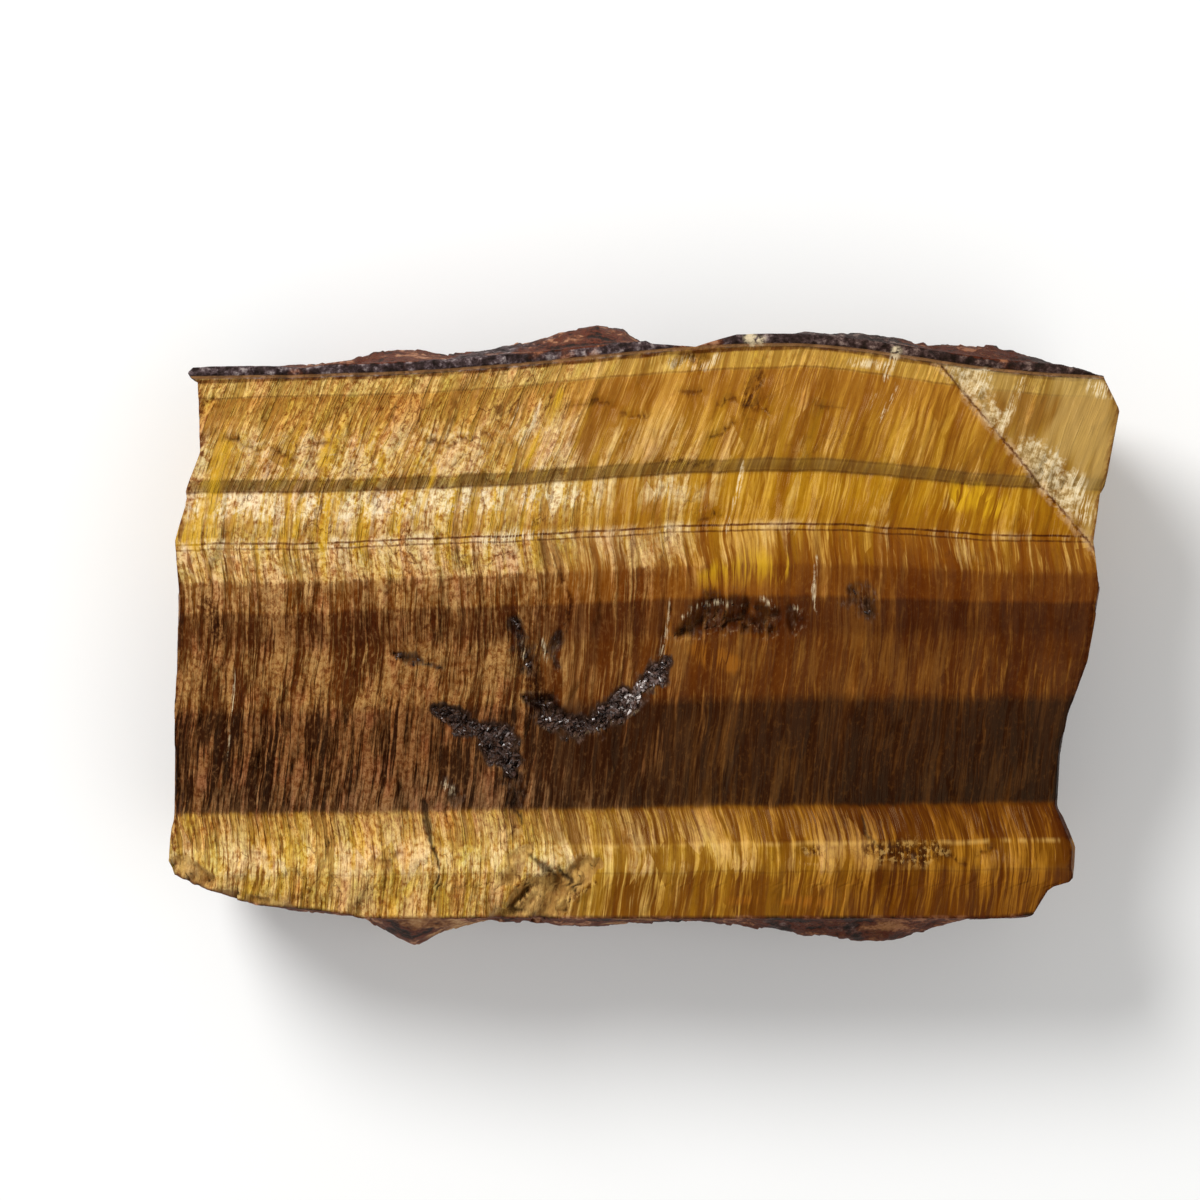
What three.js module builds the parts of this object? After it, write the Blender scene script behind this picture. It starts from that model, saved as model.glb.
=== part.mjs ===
// Rough tiger's eye: one slab of a cross-fibre vein, split along its fibres on the face, the back
// and both ends, and still carrying thin ironstone walls along its two long edges.
// Millimetres, +Z up. X runs along the vein, Y across it from wall to wall, and Z from the resting
// side up to the banded face. The origin is under the middle of the stone, on what it rests on.
import * as THREE from "three";
import { mergeVertices } from "three/addons/utils/BufferGeometryUtils.js";

const { clamp, degToRad, lerp, smoothstep } = THREE.MathUtils;

// Driving dimensions
const GRID = { columns: 48, rows: 36, layers: 8 }; // quads along, across and through the stone
const FACE_CREST = 34; // height of the highest ridge on the face
const ENDS = { left: -56, right: 52 }; // where the two ends stand on average
const VEIN = { bottom: -35.2, top: 32.1 }; // where the fibres meet the two walls, at the left end
const BOW = { x: 17, left: 24, right: 16.5, height: 4.1 }; // the upper bands bow up right of middle
const CLIMB = 12.5; // how much the middle bands climb towards the right end
const WALL_STRIP = 1.7; // ironstone that shows where the face cuts through the upper wall
const LOWER_STRIP = 0.3; // the same along the lower wall
const WALL_BEVEL = 0.3; // share of the thickness in which a wall reaches its full outline
const RELAXATIONS = 6; // rounds that settle a point between the ends and the walls

// Outline from above: the ends give X at each Y, and the walls give Y at each X.
const leftEnd = brokenLine([
  [-31, -58.6], [-28.5, -59.6], [-12, -59.2], [5, -58.4], [12, -58.8], [18.5, -57], [23, -55.4],
  [31.4, -56], [33.6, -57],
]);
const rightEnd = brokenLine([
  [-35.3, 48.8], [-31.6, 51], [-30.8, 53.9], [-26.5, 54.2], [-21.5, 52.4], [-15, 52.7],
  [-9.8, 53.6], [-3, 56], [6, 57.3], [12, 56.5], [18.3, 57.6], [28.5, 59.9], [33.3, 57.6],
]);
const upperWall = brokenLine([
  [-57, 33.8], [-42, 34.1], [-34, 36.2], [-19, 36.7], [-6, 39.2], [-2.5, 39.2], [1, 37],
  [6.5, 36.3], [13, 38.2], [21, 38.4], [43, 37.3], [57.6, 33.3],
]);
const lowerWall = brokenLine([
  [-59, -30.4], [-49, -33.9], [-36.7, -35.7], [-29.2, -39.5], [-19.5, -36.6], [10.8, -37.3],
  [31, -38.8], [36, -38.3], [43.5, -35.6], [49, -35.3],
]);

// Height of the face across the bands, below its crest: a cove between two rounded ridges, and a
// low step under the uppermost bands.
const faceProfile = brokenLine([
  [-35.2, -4.9], [-29.6, -3.5], [-26.6, -4.3], [-22.7, -6.1], [-15, -5.4], [-5, -3.6],
  [2.7, -1.5], [6.7, -0.6], [11, 0], [13.5, -0.3], [17.9, -1.8], [19.6, -1.3], [32.1, -2.5],
]);

// Crystal-lined cavities and broken hollows in the face: middle, half lengths, turn and depth.
const HOLLOWS = [
  { x: -20.2, y: -14.8, along: 8, across: 2.4, turn: -43, depth: 2.1 },
  { x: -9.5, y: -10.6, along: 5.4, across: 2, turn: 5, depth: 2 },
  { x: -0.4, y: -6.7, along: 4.8, across: 1.7, turn: 38, depth: 1.7 },
  { x: -13.4, y: -2, along: 5, across: 2, turn: 84, depth: 1.1 },
  { x: 10, y: 2.6, along: 6, across: 2.3, turn: 18, depth: 2.2 },
  { x: 16.8, y: 1.9, along: 3.2, across: 2, turn: 25, depth: 1.2 },
  { x: -10.5, y: -33.6, along: 7, across: 3.2, turn: 22, depth: 2.6 },
];

// A crack cuts the upper right corner off the bands, and the corner beyond it lies lower.
const CORNER = { x: 37.7, y: 33.3, turn: -47, step: 0.4, fall: 0.11 };

// A function through [where, value] pairs that are sorted by where, straight between them.
function brokenLine(points) {
  return (where) => {
    const last = points.length - 1;
    const next = points.findIndex(([at]) => at >= where);
    if (next === 0) {
      return points[0][1];
    }
    if (next < 0) {
      return points[last][1];
    }
    const [lowAt, lowValue] = points[next - 1];
    const [highAt, highValue] = points[next];
    return lerp(lowValue, highValue, (where - lowAt) / (highAt - lowAt));
  };
}

// How far the bands stand above their straight course at a point.
function bandLift(x, band) {
  const aside = (x - BOW.x) / (x < BOW.x ? BOW.left : BOW.right);
  const bow = BOW.height * Math.exp(-0.5 * aside * aside);
  const along = clamp((x - ENDS.left) / (ENDS.right - ENDS.left), 0, 1);
  const across = clamp((band - VEIN.bottom) / (VEIN.top - VEIN.bottom), 0, 1);
  return bow * across ** 2 + CLIMB * across * (1 - across) ** 2 * along;
}

// Which band lies at a point, named by the Y that it has at the left end.
function bandAt(x, y) {
  let band = y;
  for (let i = 0; i < 3; i++) {
    band = y - bandLift(x, band);
  }
  return band;
}

function hollowDepth(x, y) {
  let deepest = 0;
  for (const hollow of HOLLOWS) {
    const turn = degToRad(hollow.turn);
    const dx = x - hollow.x;
    const dy = y - hollow.y;
    const along = (dx * Math.cos(turn) + dy * Math.sin(turn)) / hollow.along;
    const across = (dy * Math.cos(turn) - dx * Math.sin(turn)) / hollow.across;
    const inside = 1 - smoothstep(Math.hypot(along, across), 0.35, 1.15);
    deepest = Math.max(deepest, hollow.depth * inside);
  }
  return deepest;
}

function cornerDrop(x, y) {
  const turn = degToRad(CORNER.turn);
  const beyond = (y - CORNER.y) * Math.cos(turn) - (x - CORNER.x) * Math.sin(turn);
  return CORNER.step * smoothstep(beyond, 0, 1) + CORNER.fall * Math.max(0, beyond);
}

// The banded face, with low splinters along the fibres, falling off towards both ends.
function faceHeight(x, y) {
  const band = bandAt(x, y);
  const splinters = 0.25 * Math.sin(x * 0.55 + 1.3) + 0.18 * Math.sin(x * 1.27 + band * 0.05);
  const fallOff = 1.6 * Math.abs(x / 59) ** 5;
  const relief = faceProfile(band) + splinters - fallOff - hollowDepth(x, y) - cornerDrop(x, y);
  return FACE_CREST + relief;
}

// The resting side: two long lands worn to one plane, a hollow between them, and lifted rims.
function backHeight(x, y) {
  const hollow = 4.4 * Math.exp(-(((y - 1) / 9) ** 2)) - 0.9;
  const waves = 0.8 * Math.sin(x * 0.17 + 0.9) * Math.sin(y * 0.13 + 1) + 0.4 * Math.sin(x * 0.43);
  const rims = 5 * smoothstep(Math.abs(x), 46, 62) + 7 * smoothstep(Math.abs(y), 28, 41);
  return Math.max(0, hollow + waves + rims);
}

// How far an end draws in from the outline: height is 1 at the face and 0 at the back.
function endInset(y, height) {
  const atFace = 0.8 * smoothstep(height, 0.72, 1);
  const underside = 2.6 + 1.3 * Math.sin(y * 0.11 + 0.6);
  const atBack = underside * smoothstep(1 - height, 0.35, 1) ** 1.5;
  return atFace + atBack + 0.35 * (1 + Math.sin(height * 11 + 0.8));
}

function wallInset(x, height) {
  const underside = 2.4 + 1.5 * Math.sin(x * 0.09 + 2) + 0.5 * Math.sin(x * 0.31);
  const lumps = 0.3 * (1 + Math.sin(height * 9 + x * 0.2));
  return underside * smoothstep(1 - height, 0.45, 1) ** 1.3 + lumps;
}

// A wall's distance from the X axis: a narrow strip at the face, its full outline behind that.
function wallReach(outline, faceEdge, x, height) {
  const behind = outline - wallInset(x, height);
  return lerp(Math.min(faceEdge, behind), behind, smoothstep(1 - height, 0, WALL_BEVEL));
}

// Moves a point of the cube from -1 to 1 to its place on the stone.
function shape(point) {
  const along = (point.x + 1) / 2;
  const across = (point.y + 1) / 2;
  const height = (Math.sin((point.z * Math.PI) / 2) + 1) / 2; // layers crowd at face and back
  let x = lerp(ENDS.left, ENDS.right, along);
  let y = 0;
  for (let i = 0; i < RELAXATIONS; i++) {
    const upperEdge = VEIN.top + bandLift(x, VEIN.top) + WALL_STRIP;
    const lowerEdge = VEIN.bottom + bandLift(x, VEIN.bottom) - LOWER_STRIP;
    const upper = wallReach(upperWall(x), upperEdge, x, height);
    const lower = -wallReach(-lowerWall(x), -lowerEdge, x, height);
    y = lerp(lower, upper, across);
    const inset = endInset(y, height);
    x = lerp(leftEnd(y) + inset, rightEnd(y) - inset, along);
  }
  point.set(x, y, lerp(backHeight(x, y), faceHeight(x, y), height));
}

function slabGeometry() {
  const cube = new THREE.BoxGeometry(2, 2, 2, GRID.columns, GRID.rows, GRID.layers);
  cube.deleteAttribute("normal");
  cube.deleteAttribute("uv");
  const geometry = mergeVertices(cube);
  const position = geometry.getAttribute("position");
  const point = new THREE.Vector3();
  for (let i = 0; i < position.count; i++) {
    point.fromBufferAttribute(position, i);
    shape(point);
    position.setXYZ(i, point.x, point.y, point.z);
  }
  geometry.computeBoundingBox();
  const middle = geometry.boundingBox.getCenter(new THREE.Vector3());
  geometry.translate(-middle.x, -middle.y, -geometry.boundingBox.min.z);
  geometry.computeVertexNormals();
  return geometry;
}

const bandedStone = new THREE.MeshStandardMaterial({ color: 0x96692f, roughness: 0.5, metalness: 0 });
const slab = new THREE.Mesh(slabGeometry(), bandedStone);
slab.name = "tigers_eye_slab";

const tigersEye = new THREE.Group();
tigersEye.add(slab);
export default tigersEye;
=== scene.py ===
import itertools
import math
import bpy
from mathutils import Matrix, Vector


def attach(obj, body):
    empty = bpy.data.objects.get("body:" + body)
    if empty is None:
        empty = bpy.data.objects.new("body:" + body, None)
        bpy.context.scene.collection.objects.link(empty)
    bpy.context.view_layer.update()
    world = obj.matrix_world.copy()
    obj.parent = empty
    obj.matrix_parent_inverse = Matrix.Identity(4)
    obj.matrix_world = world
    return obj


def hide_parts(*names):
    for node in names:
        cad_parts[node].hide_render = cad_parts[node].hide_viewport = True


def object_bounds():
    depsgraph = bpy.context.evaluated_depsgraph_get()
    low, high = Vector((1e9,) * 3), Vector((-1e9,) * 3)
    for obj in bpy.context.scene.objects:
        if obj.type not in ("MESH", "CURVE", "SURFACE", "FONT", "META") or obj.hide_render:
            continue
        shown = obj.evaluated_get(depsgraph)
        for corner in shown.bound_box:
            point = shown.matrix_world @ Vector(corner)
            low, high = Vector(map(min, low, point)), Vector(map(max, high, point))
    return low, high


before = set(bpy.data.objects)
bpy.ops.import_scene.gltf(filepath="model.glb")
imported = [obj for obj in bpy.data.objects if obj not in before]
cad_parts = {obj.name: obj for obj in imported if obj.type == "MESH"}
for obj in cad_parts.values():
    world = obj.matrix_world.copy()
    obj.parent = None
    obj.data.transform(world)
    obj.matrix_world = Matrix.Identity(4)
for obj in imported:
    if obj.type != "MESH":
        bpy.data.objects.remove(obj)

from types import SimpleNamespace

import bpy
import numpy as np
from mathutils import Matrix, Vector

mm = 0.001
cadLow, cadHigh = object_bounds()
cadMiddle = (cadLow + cadHigh) / 2
print("frame loaded:", list(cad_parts))


def srgb(red, green, blue):  # 0 to 255, to the linear colour that shaders take
    parts = np.array([red, green, blue]) / 255
    linear = np.where(parts <= 0.04045, parts / 12.92, ((parts + 0.055) / 1.055) ** 2.4)
    return (*linear.tolist(), 1.0)


def lerp(low, high, share):
    return low + (high - low) * share


def smoothstep(value, low, high):
    share = np.clip((value - low) / (high - low), 0, 1)
    return share * share * (3 - 2 * share)


def brokenLine(points):  # a function that is straight between [where, value] pairs
    where, value = np.array(points, dtype=float).T
    return lambda at: np.interp(at, where, value)


def hashed(cells, seed):  # one steady number from 0 to 1 for each lattice cell
    total = seed * 74.7
    for cell, stride in zip(cells, (127.1, 311.7, 269.5)):
        total = total + cell * stride
    return np.modf(np.abs(np.sin(total)) * 43758.5453)[0]


def smoothNoise(places, seed):  # value noise in one, two or three directions, 0 to 1
    low = [np.floor(place) for place in places]
    fade = [smoothstep(place - cell, 0, 1) for place, cell in zip(places, low)]
    total = 0
    for corner in itertools.product((0, 1), repeat=len(places)):
        weight = 1
        for share, step in zip(fade, corner):
            weight = weight * (share if step else 1 - share)
        total = total + weight * hashed([cell + step for cell, step in zip(low, corner)], seed)
    return total


def fractal(places, octaves, seed):  # smooth noise with finer and finer detail, about -0.5 to 0.5
    total, size = 0, 0
    for octave in range(octaves):
        fine = [place * 2.03 ** octave for place in places]
        total = total + smoothNoise(fine, seed + octave) * 0.5 ** octave
        size += 0.5 ** octave
    return total / size - 0.5


def facets(places, seed):  # broken rock: tilted flats with small cliffs between, about -0.5 to 0.5
    low = [np.floor(place) for place in places]
    nearest = np.full(np.shape(places[0]), 9.0)
    height = np.zeros(np.shape(places[0]))
    for step in itertools.product((-1, 0, 1), repeat=len(places)):
        cells = [cell + move for cell, move in zip(low, step)]
        away = [place - cell - hashed(cells, seed + axis)
                for axis, (place, cell) in enumerate(zip(places, cells))]
        distance = sum(part * part for part in away)
        tilts = [hashed(cells, seed + 7 + axis) - 0.5 for axis in range(len(places))]
        flat = (hashed(cells, seed + 5) - 0.5) * 0.6 + sum(t * part for t, part in zip(tilts, away))
        height = np.where(distance < nearest, flat, height)
        nearest = np.minimum(distance, nearest)
    return height


def fibreSteps(across, along, seed):  # bundles of fibres split to different heights, -0.5 to 0.5
    wander = 0.9 * smoothNoise([across * 0.41], seed + 1)
    wander = wander + 0.25 * smoothNoise([across * 0.13, along], seed + 2)
    bundle = np.floor(across + wander)
    run = along + hashed([bundle], seed + 3) * 5
    piece = np.floor(run)
    snapped = smoothstep(run - piece, 0.9, 0.97)
    here, following = hashed([bundle, piece], seed), hashed([bundle, piece + 1], seed)
    return lerp(here, following, snapped) - 0.5


def distanceToPath(x, y, path):  # path is [(x, y, half width), ...]: 1 at the edge, 0 on the line
    nearest = np.full(np.shape(x), 99.0)
    for (ax, ay, aWide), (bx, by, bWide) in zip(path, path[1:]):
        dx, dy = bx - ax, by - ay
        share = np.clip(((x - ax) * dx + (y - ay) * dy) / (dx * dx + dy * dy), 0, 1)
        away = np.hypot(x - ax - dx * share, y - ay - dy * share) / lerp(aWide, bWide, share)
        nearest = np.minimum(nearest, away)
    return nearest


slab = {  # millimetres, before the stone is centred on the frame's origin
    "columns": 400, "rows": 150, "layers": 28,  # quads along the vein, across it and through it
    "triangles": 190000,  # kept after the back and the sides are thinned
    "faceCrest": 34.0,
    "ends": (-56.0, 52.0),
    "vein": (-35.2, 32.1),  # where the fibres meet the two walls, at the left end
    "bow": {"x": 17.0, "left": 24.0, "right": 16.5, "height": 4.1},
    "climb": 12.5,
    "wallStrip": 1.7,  # ironstone that the face cuts through
    "lowerStrip": 0.3,
    "wallBevel": 0.3,
    "settling": 6,
    "leftEnd": [(-31, -58.6), (-28.5, -59.6), (-12, -59.2), (5, -58.4), (12, -58.8), (18.5, -57),
                (23, -55.4), (31.9, -55.8), (32.4, -56.6), (33.1, -57), (33.8, -56.4)],
    "rightEnd": [(-35.3, 48.8), (-31.6, 51), (-30.8, 53.9), (-26.5, 54.2), (-21.5, 52.4), (-15, 52.7),
                 (-9.8, 53.6), (-3, 56), (6, 57.3), (12, 56.5), (18.3, 57.6), (28.5, 59.9), (33.3, 57.6)],
    "upperWall": [(-57, 33.8), (-42, 34.1), (-34, 36.2), (-19, 36.7), (-6, 39.2), (-2.5, 39.2), (1, 37),
                  (6.5, 36.3), (13, 38.2), (21, 38.4), (43, 37.3), (57.6, 33.3)],
    "lowerWall": [(-59, -30.4), (-49, -33.9), (-36.7, -35.7), (-29.2, -39.5), (-19.5, -36.6),
                  (10.8, -37.3), (31, -38.8), (36, -38.3), (43.5, -35.6), (49, -35.3)],
    # height of the face across the bands, below its crest
    "profile": [(-35.2, -4.9), (-29.6, -3.5), (-26.6, -4.3), (-22.7, -6.1), (-15, -5.4), (-5, -3.6),
                (2.7, -1.5), (6.7, -0.6), (11, 0), (13.5, -0.3), (17.9, -1.8), (19.6, -1.3), (32.1, -2.5)],
    # how far the fibres stray sideways across the bands: they kink where the vein moved as it opened
    "leanLeft": [(-35.2, 0.8), (-33, 1.1), (-30.5, 1.5), (-28.5, 1.6), (-26.6, 1.45), (-24.5, 1.1),
                 (-22.5, 0.6), (-2, 3.0), (6.7, 3.3), (11, 2.7), (18, 3.5), (32.1, 9.1)],
    "leanRight": [(-35.2, 0.6), (-33, 1.0), (-30.5, 1.3), (-28.5, 1.4), (-26.6, 1.25), (-24.5, 0.75),
                  (-22.5, 0.0), (-2, 2.2), (6.7, 2.4), (11, 1.8), (18, 3.7), (32.1, 8.5)],
    # fibre splinters: width of a bundle, run before it snaps, and height
    "splinters": [(6, 40, 0.7), (2.3, 24, 0.5), (0.95, 14, 0.34), (0.55, 8, 0.2)],
    "chunks": 0.9, "swell": 1.1,  # height of broken flakes and of the face's low waves
    "fallOff": 1.6, "halfLength": 59.0,  # how far the face drops at both ends, and where they are
    "smoothFrom": (-14, 8), "smoothness": 0.3,  # x between which splinters shrink, and to what share
    "bead": 0.45,  # how far the upper wall's strip stands proud
}

# Hollows along paths of (x, y, half width): their depth, how far crystals line them, and how ragged.
hollows = {
    "leftArm": {"path": [(-26.2, -9.0, 0.4), (-23.4, -10.2, 0.9), (-20.6, -11.6, 1.3), (-17.8, -13.4, 1.7),
                         (-16.4, -16.4, 0.9)], "depth": 1.3, "lining": 1.0},
    "leftFoot": {"path": [(-16.3, -16.4, 1.0), (-16.2, -20.6, 0.9)], "depth": 1.0, "lining": 0.4},
    "rightArm": {"path": [(-12.4, -10.4, 0.8), (-9.4, -11.2, 1.0), (-6.4, -10.6, 0.9), (-3.4, -9.0, 1.2),
                          (-0.6, -7.2, 1.0), (0.9, -5.2, 1.2), (2.8, -3.6, 0.5)],
                 "depth": 1.4, "lining": 1.0},
    "armRoot": {"path": [(-15.0, -7.6, 0.6), (-12.8, -9.0, 1.2), (-10.0, -9.8, 1.0)],
                "depth": 1.7, "lining": 0.55},
    "upperBranch": {"path": [(-16.4, 2.0, 0.4), (-15.0, -1.0, 1.1), (-14.0, -4.8, 0.7)],
                    "depth": 1.1, "lining": 0.52, "ragged": 1.2},
    "sideBranch": {"path": [(-10.6, 0.6, 0.3), (-11.4, -1.8, 0.9), (-11.0, -3.8, 0.4)],
                   "depth": 1.0, "lining": 0.52, "ragged": 1.2},
    "shellWest": {"path": [(4.6, 0.4, 0.5), (7.6, 2.4, 1.5), (11.2, 3.4, 1.8), (13.0, 1.6, 1.1)],
                  "depth": 1.9, "lining": 0.36, "ragged": 0.7},
    "shellMiddle": {"path": [(14.4, 3.6, 0.6), (15.4, 2.0, 1.4), (16.2, 0.8, 0.7)],
                    "depth": 1.5, "lining": 0.36, "ragged": 0.7},
    "shellEast": {"path": [(18.4, 3.4, 0.4), (19.2, 1.8, 1.1), (18.8, 0.6, 0.5)],
                  "depth": 1.1, "lining": 0.32, "ragged": 0.7},
    "ledge": {"path": [(3.4, 3.6, 0.3), (3.0, -0.6, 0.7), (2.4, -3.4, 0.5)], "depth": 0.6, "lining": 0.2},
    "stain": {"path": [(26.2, 5.6, 0.6), (27.0, 4.6, 1.4), (28.2, 2.8, 0.7)], "depth": 0.4, "lining": 0.46},
    "nick": {"path": [(-31.4, -2.2, 0.2), (-28.6, -2.9, 0.6), (-25.4, -4.0, 0.3)],
             "depth": 0.8, "lining": 0.55, "ragged": 0.8},
    "grit": {"path": [(-24.8, -18.0, 0.4), (-23.6, -20.4, 0.7)], "depth": 0.3, "lining": 0.4},
}

# Ragged lines where fibres snapped off: both their ends, the drop below, and how soon it heals.
snaps = [
    {"from": (-52.6, 25.0), "to": (-47.6, 23.2), "drop": 0.8, "run": 2.4},
    {"from": (-47.8, 24.2), "to": (-43.2, 22.0), "drop": 0.5, "run": 1.6},
    {"from": (-41.6, 24.3), "to": (-39.0, 24.1), "drop": 0.6, "run": 5.0},
    {"from": (-27.4, 24.6), "to": (-24.9, 25.2), "drop": 0.8, "run": 2.2},
    {"from": (-25.0, 24.3), "to": (-20.8, 25.4), "drop": 0.9, "run": 2.6},
    {"from": (-20.6, 26.0), "to": (-18.4, 24.6), "drop": 0.5, "run": 1.8},
    {"from": (-10.4, 29.2), "to": (-3.0, 29.5), "drop": 0.6, "run": 2.0},
    {"from": (-3.4, 28.4), "to": (1.2, 28.2), "drop": 0.5, "run": 1.6},
    {"from": (8.0, 25.2), "to": (12.0, 27.0), "drop": 0.7, "run": 2.2},
    {"from": (8.8, 29.5), "to": (12.2, 29.9), "drop": 0.5, "run": 1.6},
    {"from": (12.0, 29.0), "to": (16.4, 28.4), "drop": 0.8, "run": 1.6},
    {"from": (4.0, 31.0), "to": (8.0, 30.6), "drop": 0.5, "run": 1.4},
    {"from": (21.0, 29.6), "to": (25.4, 28.8), "drop": 0.4, "run": 1.4},
    {"from": (6.4, 14.6), "to": (10.2, 15.4), "drop": 0.5, "run": 1.8},
    {"from": (36.8, -26.4), "to": (41.0, -28.2), "drop": 0.7, "run": 1.6},
    {"from": (41.6, -27.4), "to": (44.6, -26.4), "drop": 0.5, "run": 1.2},
    {"from": (-50.0, -26.6), "to": (-45.4, -28.4), "drop": 0.4, "run": 2.0},
    {"from": (-34.6, -28.0), "to": (-29.6, -27.2), "drop": 0.3, "run": 2.4},
]

# Scoops broken out of the rims: middle, half sizes, turn in degrees and depth.
chips = [
    {"at": (-13.0, -33.0), "half": (6.2, 2.6), "turn": 32, "depth": 1.9},
    {"at": (-9.0, -30.6), "half": (4.4, 2.0), "turn": 46, "depth": 1.3},
    {"at": (-15.6, -28.2), "half": (3.0, 1.4), "turn": 60, "depth": 0.8},
    {"at": (-17.0, -35.0), "half": (4.0, 1.3), "turn": 20, "depth": 1.6},
    {"at": (-57.4, -29.6), "half": (3.6, 2.0), "turn": -18, "depth": 1.6},
    {"at": (-48.5, -33.6), "half": (6.0, 1.2), "turn": -14, "depth": 0.9},
    {"at": (31.8, -27.0), "half": (4.4, 1.0), "turn": -4, "depth": 0.45},
    {"at": (21.0, -27.2), "half": (2.0, 1.0), "turn": 0, "depth": 0.4},
    {"at": (14.0, 30.2), "half": (1.6, 2.4), "turn": 0, "depth": 0.5},
    {"at": (5.6, 34.4), "half": (3.2, 1.6), "turn": 0, "depth": 0.9},
    {"at": (51.0, 19.6), "half": (3.4, 2.2), "turn": -47, "depth": 0.7},
    {"at": (41.5, 30.2), "half": (4.4, 1.6), "turn": -47, "depth": 0.5},
]

# A crack cuts the upper right corner off the bands, and the corner beyond it lies lower.
corner = {"at": (37.7, 33.3), "turn": -50.4, "step": 0.45, "fall": 0.11}

# Open cracks along paths of (x, y, half width), and how deep they are. The three scoop paths are painted
# shadows under the scoops' broken rims, each over a shallow groove.
cracks = {
    "blackSplit": {"path": [(-27.4, -20.4, 0.14), (-26.9, -23.6, 0.3), (-26.2, -26.4, 0.16),
                            (-25.6, -29.8, 0.05), (-26.0, -33.4, 0.06)], "depth": 0.7},
    "scoopShadowWest": {"path": [(-17.6, -33.2, 0.2), (-15.8, -34.2, 0.3), (-13.8, -35.0, 0.2)], "depth": 0.2},
    "scoopShadowMiddle": {"path": [(-14.4, -27.8, 0.2), (-12.6, -29.2, 0.35), (-11.0, -30.0, 0.2)],
                    "depth": 0.3},
    "scoopShadowEast": {"path": [(-10.8, -28.6, 0.15), (-9.2, -30.4, 0.25), (-8.2, -32.0, 0.15)],
                  "depth": 0.4},
    "lowerSplit": {"path": [(-16.2, -20.8, 0.2), (-15.4, -23.6, 0.12)], "depth": 0.3},
    "eastSplit": {"path": [(27.6, -22.4, 0.12), (28.4, -25.0, 0.2), (30.2, -27.6, 0.12)], "depth": 0.3},
    "slimSplit": {"path": [(11.6, -14.2, 0.08), (11.0, -17.4, 0.16), (10.8, -19.8, 0.08)], "depth": 0.2},
}

# Pale smears, painted glints and painted highlights on the hollows' rims, and brown stains, along paths of
# (x, y, half width).
paleSmearsAndGlints = [
    [(12.3, 21.6, 0.2), (11.8, 18.0, 0.36), (11.0, 15.2, 0.1)], [(10.6, 14.8, 0.2), (10.3, 13.2, 0.1)],
    [(21.6, 9.8, 0.1), (21.2, 6.0, 0.2), (21.6, 3.0, 0.1)],
    [(3.4, 4.4, 0.1), (2.9, 1.0, 0.2), (2.2, -2.6, 0.16)],
    [(-51.1, -2.9, 0.08), (-51.7, -9.0, 0.14), (-52.4, -15.4, 0.06)],
    [(31.6, 35.8, 0.5), (30.2, 32.2, 0.2)],
    [(31.8, 31.4, 0.1), (29.4, 27.0, 0.24)], [(29.4, 31.4, 0.1), (28.0, 28.4, 0.2)],
    [(-12.6, 30.2, 0.14), (-13.8, 27.0, 0.3), (-15.2, 23.8, 0.12)], [(-15.4, 29.0, 0.1), (-16.6, 26.2, 0.2)],
    [(13.2, 37.2, 0.6), (14.6, 37.0, 0.5)], [(56.4, 31.4, 0.8), (58.6, 30.8, 0.7)],
    [(4.6, 2.1, 0.1), (7.3, 4.2, 0.2), (9.4, 4.4, 0.2), (12.3, 3.7, 0.1)],
    [(25.6, 34.4, 0.2), (31.0, 33.8, 0.5)],
    [(14.8, 4.8, 0.1), (15.8, 4.2, 0.2), (16.6, 3.5, 0.1)], [(18.8, 3.9, 0.1), (19.6, 3.1, 0.14)],
    [(-20.6, 11.8, 0.4), (-16.0, 12.6, 0.6), (-12.6, 12.9, 0.4)], [(-25.2, -18.4, 0.3), (-24.2, -19.4, 0.3)],
    [(-15.2, -0.6, 0.08), (-15.0, -2.8, 0.12)], [(-12.8, 0.2, 0.1), (-12.2, -2.8, 0.16)],
    [(6.2, 33.6, 0.3), (8.2, 34.0, 0.5), (9.4, 35.2, 0.3)], [(3.4, 34.2, 0.5), (5.4, 34.6, 0.7)],
    [(47.6, 32.4, 0.3), (46.2, 28.6, 0.5), (44.6, 25.8, 0.6)], [(54.4, 19.6, 0.9), (55.4, 15.6, 1.1)],
    [(42.8, 33.2, 0.5), (41.8, 30.6, 0.4)],
]
# Brown stains; the four paths by the lower scoops, from x -18 to -6 and y -35 to -24, paint shadow lines
# between broken flats.
brownStains = [
    [(25.8, 5.8, 0.5), (27.0, 4.6, 1.3), (28.4, 3.0, 0.6)], [(2.6, 21.9, 0.5), (5.0, 22.0, 0.4)],
    [(14.6, 32.6, 0.4), (13.6, 30.8, 0.9), (12.6, 29.0, 0.5)], [(5.4, 21.4, 0.3), (8.4, 21.6, 0.3)],
    [(-23.2, 10.8, 0.3), (-21.8, 8.6, 0.7)], [(-54.2, 4.0, 1.0), (-53.4, 0.4, 0.8)],
    [(5.6, 35.4, 0.4), (6.6, 34.4, 0.3)], [(28.8, -26.8, 0.8), (32.6, -27.3, 1.5), (37.2, -27.0, 1.0)],
    [(-10.6, 8.4, 0.2), (-9.2, 4.6, 0.4), (-9.8, 0.8, 0.3)], [(20.2, -26.8, 0.5), (22.4, -27.0, 0.4)],
    [(-16.4, -29.4, 0.2), (-14.2, -31.6, 0.4), (-15.4, -34.4, 0.3)], [(-9.6, -33.4, 0.3), (-6.0, -31.0, 0.2)],
    [(-15.2, -2.0, 0.8), (-14.0, -5.0, 1.2), (-13.0, -8.0, 1.2)],
    [(-12.6, -30.4, 0.2), (-10.4, -28.8, 0.3)], [(-17.6, -26.2, 0.3), (-16.2, -24.0, 0.3)],
]
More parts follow.
